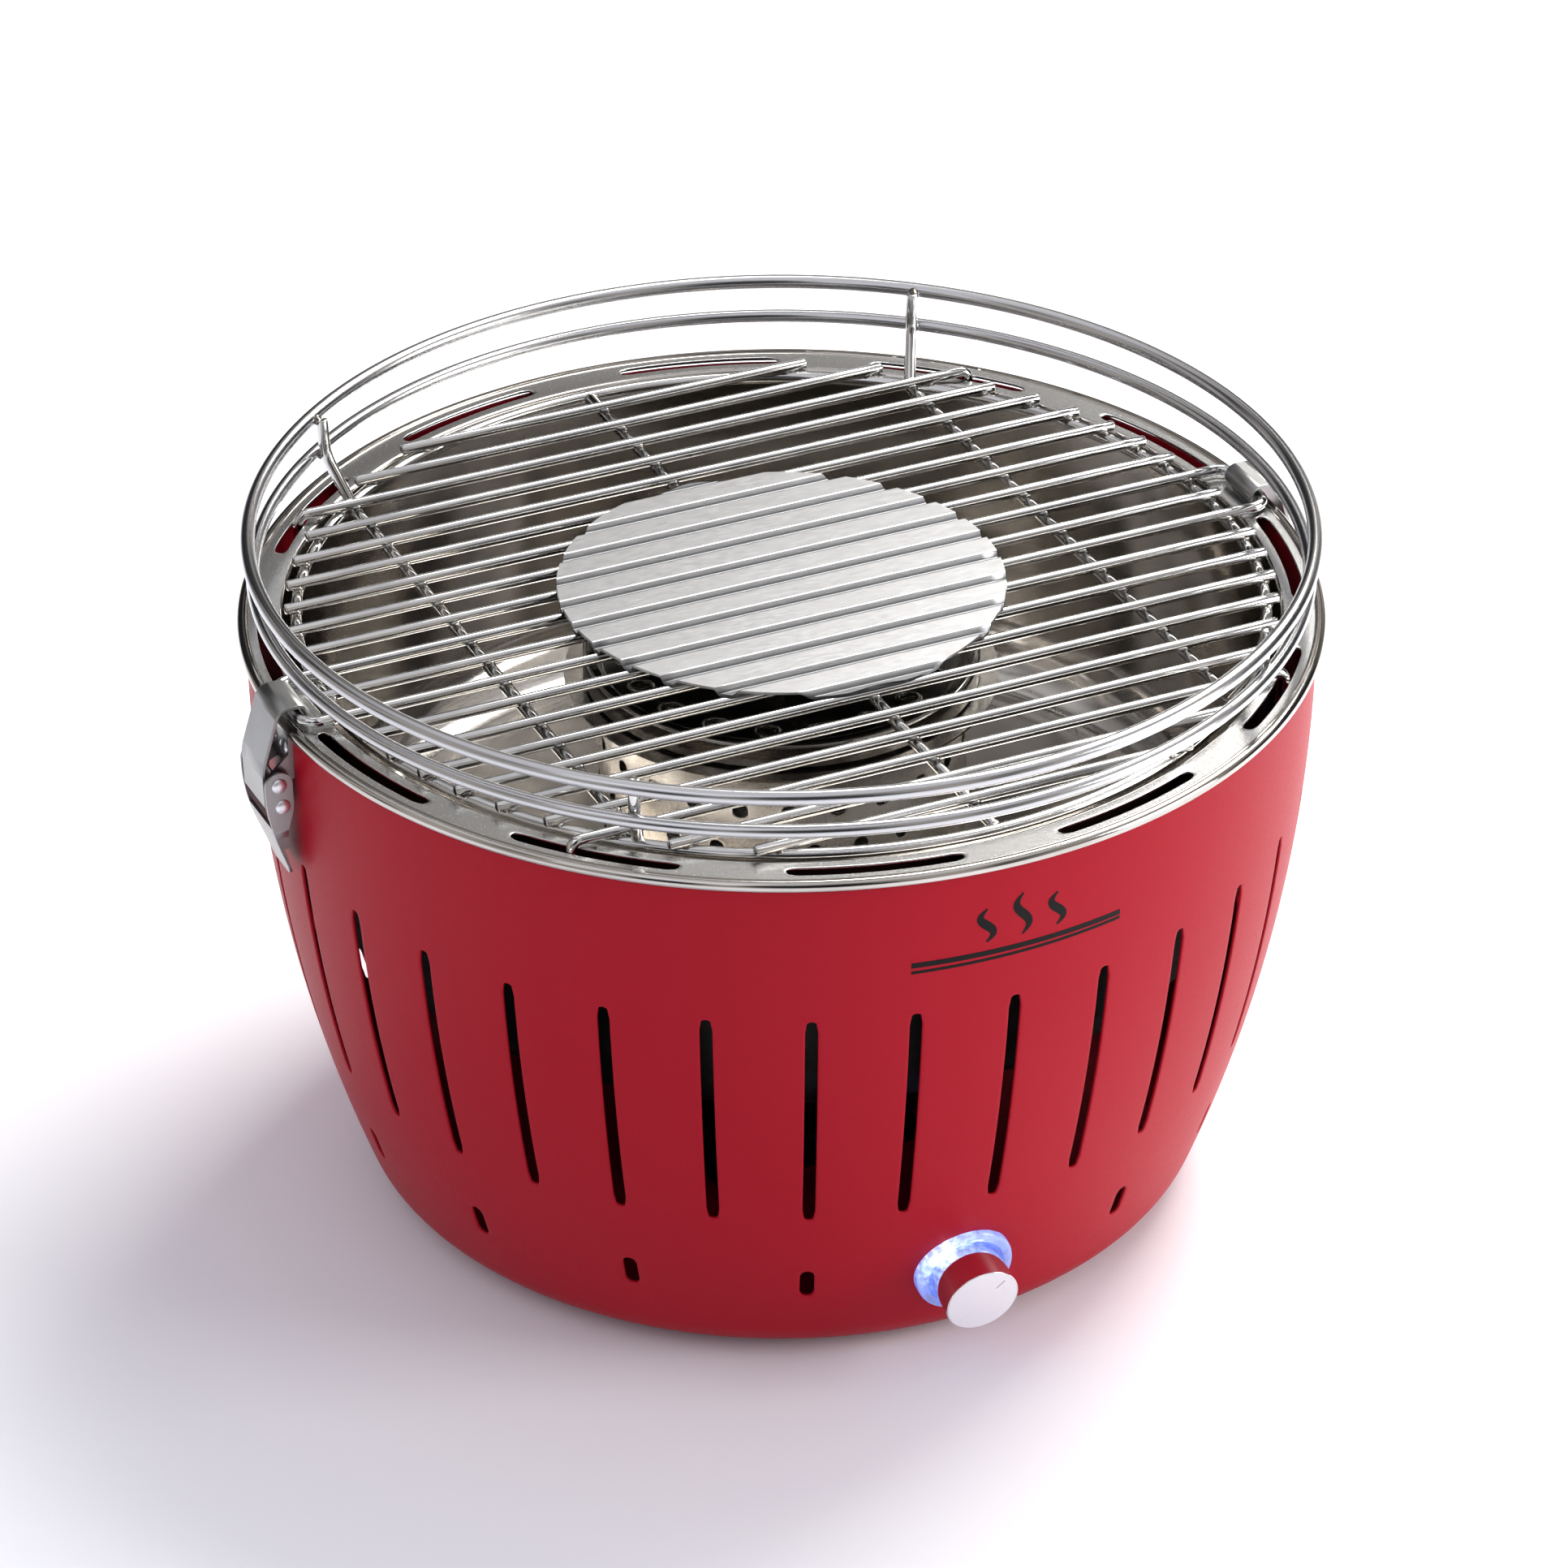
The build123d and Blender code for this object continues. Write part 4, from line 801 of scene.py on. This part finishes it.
class GRILL_OT_grate(bpy.types.Operator):
    """Rods, cross rods and rings of the wire grate, with their welds"""

    bl_idname = "grill.grate"
    bl_label = "Wire Grate"

    def wire(self, name, paths, radius, closed=False, slot="grate_wire", sides=16, nose=0.0):
        shape = Shape()
        for path in paths:
            add_wire(shape, path, radius, sides, closed, nose)
        finish_piece(shape, name + "_wire", "bowl", slot, [name])

    def execute(self, context):
        nose = context.scene.grill_shape.nose / MM
        bead = context.scene.grill_shape.bead / MM
        ranks = [rank for rank in range(-ROD_RANK, ROD_RANK + 1) if abs(rank) not in (LOOP_RANK, LEG_RANK)]
        rods = []
        for rank in ranks:
            y = rank * ROD_PITCH
            half = sqrt(ROD_REACH**2 - y**2)
            rods.append([(half * share, y, ROD_Z) for share in (-1, -0.5, 0, 0.5, 1)])
        self.wire("grate_rods", rods, ROD_R, nose=nose)
        half_y = LOOP_RANK * ROD_PITCH
        corners = [(LOOP_REACH, half_y, ROD_Z), (LOOP_REACH, -half_y, ROD_Z),
                   (-LOOP_REACH, -half_y, ROD_Z), (-LOOP_REACH, half_y, ROD_Z)]
        self.wire("latch_loop", [rounded_path(corners, LOOP_BEND, True)], ROD_R, True)
        leg_y = LEG_RANK * ROD_PITCH
        leg_x = sqrt(RIM_SLOT_RADIUS**2 - leg_y**2)
        legs = [rounded_path([(-leg_x, y, ROD_Z - LEG_DEPTH), (-leg_x, y, ROD_Z), (leg_x, y, ROD_Z),
                              (leg_x, y, ROD_Z - LEG_DEPTH)], LEG_BEND) for y in (-leg_y, leg_y)]
        self.wire("leg_rods", legs, ROD_R, nose=nose)

        def circle(radius, height, parts=240):
            turns = [2 * pi * k / parts for k in range(parts)]
            return [(radius * cos(a), radius * sin(a), height) for a in turns]

        self.wire("base_ring", [circle(BASE_RING[0], BASE_RING[2])], BASE_RING[1], True)
        for name, (radius, thick, height) in (("lower", LOWER_RING), ("upper", UPPER_RING)):
            self.wire(name + "_guard_ring", [circle(radius, height)], thick, True, "guard_wire", 20)
        end = BASE_RING[0] - BASE_RING[1] + WELD
        self.wire("centre_cross_rod", [[(0, end * k, CROSS_Z) for k in (-1, 0, 1)]], CROSS_R, nose=nose)
        for side, name in ((-1, "left_post_rod"), (1, "right_post_rod")):
            ends = []
            for way in (-1, 1):
                points = []
                for radius, thick, height in ((UPPER_RING[0], UPPER_RING[1], UPPER_RING[2] + 0.5), LOWER_RING):
                    points.append(post_spot(side, way, radius - thick - CROSS_R + WELD, height))
                ends.append(points + [(side * CROSS_X, way * POST_FOOT_Y, CROSS_Z)])
            path = rounded_path([*ends[0], *reversed(ends[1])], (12, POST_BEND, POST_BEND, 12))
            self.wire(name, [path], CROSS_R, nose=nose)
        self.add_welds(ranks, bead)
        return {"FINISHED"}

    @staticmethod
    def add_welds(ranks, bead):
        """Squashed steel where one wire is welded over another."""
        shape = Shape()
        every = sorted(set(ranks) | {-LOOP_RANK, LOOP_RANK, -LEG_RANK, LEG_RANK})
        seed = 0
        touch = ROD_Z - ROD_R
        for rank in every:
            y = rank * ROD_PITCH
            ring_x = sqrt(BASE_RING[0] ** 2 - y**2)
            spots = [(-ring_x, 1.2), (ring_x, 1.2), (0.0, 1.0)]
            spots += [(-CROSS_X, 1.0), (CROSS_X, 1.0)] if abs(y) < POST_FOOT_Y - 6 else []
            for x, grow in spots:
                seed += 1
                lump = (0.75 * bead * grow, 0.72 * bead, 0.62 * bead)
                add_lump(shape, Vector((x, y, touch - 0.2)), lump, seed)
        for side in (-1, 1):
            for way in (-1, 1):
                for radius, thick, height in (LOWER_RING, UPPER_RING):
                    seed += 1
                    reach = radius - thick + 0.1
                    add_lump(shape, post_spot(side, way, reach, height), (1.7, 1.7, 1.9), seed)
        for way in (-1, 1):
            end = Vector((0, way * (BASE_RING[0] - BASE_RING[1]), CROSS_Z))
            add_lump(shape, end, (2.6, 1.6, 1.8), seed + way + 2)
        finish_piece(shape, "grate_welds", "bowl", "grate_wire", finishes=["weld"])


class GRILL_OT_heat_plate(bpy.types.Operator):
    """Grooved steel plate that covers the charcoal container"""

    bl_idname = "grill.heat_plate"
    bl_label = "Heat Plate"

    def execute(self, context):
        def lift(y):
            """Height of the plate's underside over its grooves."""
            off = abs(y - round(y / ROD_PITCH) * ROD_PITCH)
            share = (off - GROOVE_FLOOR / 2) / ((GROOVE_MOUTH - GROOVE_FLOOR) / 2)
            share = min(max(share, 0.0), 1.0)
            return PLATE_Z + GROOVE_DEPTH * share * share * (3 - 2 * share)

        rows = [PLATE_RADIUS * sin(radians(a)) for a in range(-90, 91, 3)]
        reach = int(PLATE_RADIUS / ROD_PITCH) + 1
        for rank in range(-reach, reach + 1):
            offsets = [GROOVE_MOUTH / 2 * k / 10 for k in range(-13, 14)]
            rows += [rank * ROD_PITCH + off for off in offsets if abs(rank * ROD_PITCH + off) < PLATE_RADIUS]
        rows = sorted(rows)
        shape = Shape()
        parts = 24
        soft = 0.2
        tops, unders = [], []
        for y in rows:
            half = sqrt(max(PLATE_RADIUS**2 - y**2, 0.0))
            shares = [-1.0] + [-1 + 2 * k / parts for k in range(parts + 1)][1:-1] + [1.0]
            top = lift(y) + PLATE_T
            tops.append(shape.ring([((half - soft * (abs(t) == 1)) * t, y, top) for t in shares]))
            unders.append(shape.ring([(half * t, y, lift(y)) for t in shares]))
        for layers in (tops, unders):
            for a, b in zip(layers, layers[1:]):
                shape.bridge(a, b, closed=False)
        around_top = [ring[0] for ring in tops] + [ring[-1] for ring in reversed(tops)]
        around_under = [ring[0] for ring in unders] + [ring[-1] for ring in reversed(unders)]
        shape.bridge(around_top, around_under)
        finish_piece(shape, "grooved_heat_plate", "heat_plate", "plate_steel", ["heat_plate"], 60, weld=0.01)
        return {"FINISHED"}


class GRILL_OT_container(bpy.types.Operator):
    """Perforated charcoal container, its lid with raised holes, and the ignition tray"""

    bl_idname = "grill.container"
    bl_label = "Charcoal Container"

    def execute(self, context):
        corners = [(0, BASKET_LOW), (BASKET_RADIUS, BASKET_LOW), (BASKET_RADIUS, BASKET_HIGH - SHEET_T),
                   (BASKET_FLANGE, BASKET_HIGH - SHEET_T)]
        sheet = TurnedSheet(rounded_path(corners, (8, 2)))
        lip = [(grow, -depth) for grow, depth in round_lip(0.15, SHEET_T)]
        rings = []
        for row in range(3):
            height = BASKET_LOW + 16 + row * (BASKET_HIGH - BASKET_LOW - 20) / 3
            middle = sheet.at_height(height)
            rings.append((middle, 10, 5 * (row % 2)))
        rings += [(ring, 240 // count, -120 // count) for ring, count in BASE_HOLES]
        bands = [{"low": middle - 5.0, "high": middle + 5.0, "rows": 4, "wide": wide,
                  "starts": range(first, 240 + first, wide), "hole": (0.0, 0.0, BASKET_HOLE_R), "lip": lip}
                 for middle, wide, first in rings]
        shape = Shape()
        add_pierced(shape, sheet, -SHEET_T, 240, 0.0, bands)
        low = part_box("charcoal_container")[0].z / MM
        top = BASKET_LOW + SHEET_T / 2
        inside = BASE_RADIUS - SHEET_T
        foot = [(BASE_RADIUS, low), (BASE_RADIUS, top), (inside, top), (inside, low)]
        add_turned(shape, foot, 120, closed=True)
        finish_piece(shape, "perforated_container", "container", "container_steel", ["charcoal_container"], 50)
        top = LID_LOW + LID_HEIGHT - LID_RECESS + SHEET_T
        brim = LID_LOW + LID_HEIGHT
        corners = [(LID_RADIUS + SHEET_T, LID_LOW), (LID_RADIUS + SHEET_T, brim), (LID_RADIUS - 3.4, brim),
                   (LID_RADIUS - 5.2, top), (0, top)]
        lid = TurnedSheet(rounded_path(corners, (1.7, 1.5, 1.6), step=radians(12)))
        middle = lid.along[-1] - 50.0
        raised = [(2.1, 0.0), (1.5, -0.12), (1.1, -0.5), (0.8, -0.86), (0.4, -1.0), (0.1, -0.92), (0.0, -0.7),
                  (0.0, 0.5), (0.0, SHEET_T)]
        band = {"low": middle - 7.0, "high": middle + 7.0, "rows": 6, "wide": 10,
                "starts": range(5, 180, 10), "hole": (0.0, 0.0, 2.8), "lip": raised}
        shape = Shape()
        add_pierced(shape, lid, SHEET_T, 180, 0.0, [band])
        finish_piece(shape, "container_lid_sheet", "container_lid", "lid_steel", ["container_lid"], 50)
        dress(["ignition_tray"])
        return {"FINISHED"}


class GRILL_OT_latches(bpy.types.Operator):
    """Toggle latches: bracket, lever, hook and their domed pins"""

    bl_idname = "grill.latches"
    bl_label = "Toggle Latches"

    def execute(self, context):
        edge = context.scene.grill_shape.edge
        for side in ("left", "right"):
            dress([f"{side}_{name}" for name in ("latch_lever", "latch_hook", "latch_bracket")], edge=edge)
            self.dome(f"{side}_base_pin", "bowl")
            self.dome(f"{side}_hook_pin", f"{side}_lever")
            self.dome(f"{side}_bracket_rivets", "bowl", rivets=True)
        return {"FINISHED"}

    @staticmethod
    def dome(node, body, rivets=False):
        """Pins with domed heads in the place of the frame's plain ones."""
        low, high = (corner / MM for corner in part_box(node))
        middle = (low + high) / 2
        shape = Shape()
        if rivets:
            half = (high.x - low.x) / 2
            pins = [(Vector((middle.x, y, middle.z)), Vector((1, 0, 0)), half) for y in (-RIVET_Y, RIVET_Y)]
        else:
            pins = [(middle, Vector((0, 1, 0)), (high.y - low.y) / 2)]
        head_r, head_h, shank = 2.6, 1.3, 1.5
        for centre, way, half in pins:
            turns = [radians(a) for a in range(0, 91, 15)]
            cap = [(head_r * sin(a), half - head_h + head_h * cos(a)) for a in turns]
            profile = cap + [(head_r * 0.97, half - head_h - 0.05), (shank, half - head_h - 0.05)]
            profile += [(r, -z) for r, z in reversed(profile)]
            place = Matrix.Translation(centre) @ way.to_track_quat("Z", "Y").to_matrix().to_4x4()
            add_turned(shape, profile, 32, place)
        finish_piece(shape, node + "_domed", body, "latch_steel", [node], 60, finishes=["knob_cap"])


class GRILL_OT_control(bpy.types.Operator):
    """Control knob with its cap, and the clear light ring behind it"""

    bl_idname = "grill.control"
    bl_label = "Control Knob"

    def execute(self, context):
        front = KNOB_BACK + KNOB_LENGTH
        shape = Shape()
        outline = rounded_path([(3.2, KNOB_BACK), (KNOB_RADIUS - 0.35, KNOB_BACK), (KNOB_RADIUS, front),
                                (CAP_SEAT, front), (CAP_SEAT, front - 0.7), (3.2, front - 0.7)],
                               (0.4, 0.28, 0.0, 0.0))
        add_turned(shape, outline, 128, KNOB_FRAME, closed=True)
        finish_piece(shape, "turned_knob", "knob", "knob_chrome", ["control_knob"])
        dress(["knob_cap"], edge=0.12 * MM)
        shape = Shape()
        inner = KNOB_RADIUS + 0.5
        corners = [(inner, -4.0), (inner, RING_THICK), (RING_RADIUS, RING_THICK), (RING_RADIUS, -4.0)]
        outline = rounded_path(corners, (0.9, 1.7), step=radians(12))
        add_turned(shape, outline, 128, KNOB_FRAME, closed=True)
        finish_piece(shape, "light_ring_clear", "bowl", "clear_ring", ["light_ring"])
        shape = Shape()
        outer = inner + 0.3
        add_turned(shape, [(4.0, -3.0), (outer, -3.0), (outer, 2.0), (4.0, 2.0)], 96, KNOB_FRAME, closed=True)
        finish_piece(shape, "light_ring_floor", "bowl", "clear_ring")
        dress(["control_dial_switch"], edge=0.2 * MM)
        return {"FINISHED"}


class GRILL_OT_base(bpy.types.Operator):
    """Fan, battery box, air duct, screws and feet under the bowls"""

    bl_idname = "grill.base"
    bl_label = "Fan and Base"

    def execute(self, context):
        edge = context.scene.grill_shape.edge
        dress(["fan_housing", "fan_cover", "fan_impeller", "battery_box", "battery_cover", "air_duct",
               "fan_motor", "battery_cells"], edge=edge)
        dress(["cover_screws", "housing_screws", "rubber_feet"], edge=edge / 2)
        return {"FINISHED"}


class GRILL_OT_stage(bpy.types.Operator):
    """Floor, lights, room light and camera"""

    bl_idname = "grill.stage"
    bl_label = "Stage"

    def execute(self, context):
        scene, stage = context.scene, context.scene.grill_stage
        half = 6.0
        mesh = bpy.data.meshes.new("floor")
        parts = 8
        grid = [(half * (2 * i / parts - 1), half * (2 * j / parts - 1), 0.0)
                for j in range(parts + 1) for i in range(parts + 1)]
        row = parts + 1
        cells = [(j * row + i, j * row + i + 1, (j + 1) * row + i + 1, (j + 1) * row + i)
                 for j in range(parts) for i in range(parts)]
        mesh.from_pydata(grid, [], cells)
        made, tree, shader, place = start_material("matt_paper_floor", {"Specular IOR Level": 0.1})
        add_tint(tree, shader, place, 300, (stage.floor_tone, stage.floor_tone))
        add_grain(tree, shader, place, 2.0, rough=(0.85, 0.95))
        mesh.materials.append(made)
        floor = bpy.data.objects.new("floor", mesh)
        scene.collection.objects.link(floor)
        for name, place, aim, size, power, tone in LAMPS:
            lamp = bpy.data.lights.new(name, "AREA")
            lamp.shape, lamp.size, lamp.size_y = "RECTANGLE", *size
            lamp.energy = power * stage.key_power
            lamp.color = linear(tone)[:3]
            made = bpy.data.objects.new(name, lamp)
            made.location = place
            made.rotation_euler = (Vector(aim) - Vector(place)).to_track_quat("-Z", "Y").to_euler()
            scene.collection.objects.link(made)
        self.add_room(scene, stage.sky)
        camera = bpy.data.objects.new("camera", bpy.data.cameras.new("camera"))
        camera.data.lens, camera.data.sensor_width = stage.lens, 36.0
        camera.location = CAMERA_PLACE
        camera.rotation_euler = (Vector(CAMERA_AIM) - Vector(CAMERA_PLACE)).to_track_quat("-Z", "Y").to_euler()
        scene.collection.objects.link(camera)
        scene.camera = camera
        scene.view_settings.view_transform = "Standard"
        return {"FINISHED"}

    @staticmethod
    def add_room(scene, strength):
        """White room whose walls, seen only in gloss, have darker gaps between soft panels."""
        world = bpy.data.worlds.new("room")
        scene.world = world
        world.use_nodes = True
        tree = world.node_tree
        ground = tree.nodes["Background"]
        ground.inputs["Strength"].default_value = strength
        ground.inputs["Color"].default_value = linear("EEF1FC")
        way = add_node(tree, "TexCoord").outputs["Generated"]
        height = add_node(tree, "SeparateXYZ", {}, {0: way}).outputs[2]
        flat = add_node(tree, "VectorMath", {"operation": "MULTIPLY", 1: (1, 1, 0.25)}, {0: way}).outputs[0]
        panels = add_node(tree, "TexNoise", {"Scale": 2.3, "Detail": 1.0}, {"Vector": flat}).outputs["Fac"]
        panel = add_node(tree, "MapRange", {"From Min": 0.44, "From Max": 0.56, "To Min": 0.0, "To Max": 0.9},
                         {"Value": panels}).outputs[0]
        rise = add_node(tree, "ValToRGB", {}, {0: height})
        bands = ((0.0, "5E5C5B"), (0.25, "343434"), (0.5, "6A6968"), (0.72, "C8C8CC"), (0.85, "E4E4E8"))
        ramp = rise.color_ramp
        for spot, tone in bands[1:-1]:
            ramp.elements.new(spot)
        for element, (spot, tone) in zip(ramp.elements, bands):
            element.position, element.color = spot, linear(tone)
        # Warm and dark panels low down, an open white ceiling above.
        high = add_node(tree, "MapRange", {"From Min": 0.55, "From Max": 0.8}, {"Value": height}).outputs[0]
        warm = add_node(tree, "Mix", {"data_type": "RGBA", 6: linear("242425"), 7: linear("C4BEB8")},
                        {0: panel}).outputs[2]
        seen = add_node(tree, "Mix", {"data_type": "RGBA"}, {0: high, 6: warm, 7: rise.outputs[0]}).outputs[2]
        gloss = add_node(tree, "Background", {"Strength": 1.0}, {"Color": seen})
        paper = add_node(tree, "Background", {"Color": linear("FFFFFF"), "Strength": 1.05})
        path = add_node(tree, "LightPath")
        mixed = add_node(tree, "MixShader", {}, {0: path.outputs["Is Glossy Ray"], 1: ground.outputs[0],
                                                          2: gloss.outputs[0]})
        final = add_node(tree, "MixShader", {}, {0: path.outputs["Is Camera Ray"], 1: mixed.outputs[0],
                                                          2: paper.outputs[0]})
        tree.links.new(final.outputs[0], tree.nodes["World Output"].inputs[0])


CAMERA_PLACE = (-0.8070, -1.7384, 1.2860)
CAMERA_AIM = (0.00073, -0.00033, 0.1333)
# Name, place, aim, size in metres, share of the key light's power, tone.
LAMPS = (
    ("key_softbox", (0.9, 0.55, 1.5), (0.0, 0.0, 0.1), (1.0, 1.0), 1.0, "FFFDF8"),
    ("side_softbox", (1.5, -1.1, 0.7), (0.0, 0.0, 0.12), (0.8, 0.9), 0.5, "FFFFFF"),
    ("fill_softbox", (-1.2, -0.9, 1.5), (0.0, 0.0, 0.1), (1.2, 1.0), 0.06, "F4F6FF"),
)


class GRILL_PT_panel(bpy.types.Panel):
    """Lists the operators that add the grill's pieces"""

    bl_idname = "GRILL_PT_panel"
    bl_label = "Tabletop Grill"
    bl_space_type = "VIEW_3D"
    bl_region_type = "UI"
    bl_category = "Grill"

    def draw(self, context):
        for group in (context.scene.grill_shape, context.scene.grill_colours, context.scene.grill_stage):
            for name in group.__annotations__:
                self.layout.prop(group, name)
        for operator in OPERATORS:
            self.layout.operator(operator.bl_idname)


OPERATORS = (GRILL_OT_outer_bowl, GRILL_OT_inner_bowl, GRILL_OT_grate, GRILL_OT_heat_plate, GRILL_OT_container,
             GRILL_OT_latches, GRILL_OT_control, GRILL_OT_base, GRILL_OT_stage)
GROUPS = {"grill_shape": GrillShape, "grill_colours": GrillColours, "grill_stage": GrillStage}


def register():
    for name, group in GROUPS.items():
        bpy.utils.register_class(group)
        setattr(bpy.types.Scene, name, bpy.props.PointerProperty(type=group))
    for kind in (*OPERATORS, GRILL_PT_panel):
        bpy.utils.register_class(kind)


def unregister():
    for kind in (GRILL_PT_panel, *reversed(OPERATORS)):
        bpy.utils.unregister_class(kind)
    for name, group in GROUPS.items():
        delattr(bpy.types.Scene, name)
        bpy.utils.unregister_class(group)


def main():
    """Adds every piece in order."""
    for piece in [o for o in bpy.context.scene.objects if o.type in ("LIGHT", "CAMERA")]:
        bpy.data.objects.remove(piece)
    register()
    FINISH.update(make_materials())
    for operator in OPERATORS:
        group, name = operator.bl_idname.split(".")
        if getattr(getattr(bpy.ops, group), name)() != {"FINISHED"}:
            raise RuntimeError(f"{operator.bl_label} didn't finish")


if __name__ == "__main__":
    main()
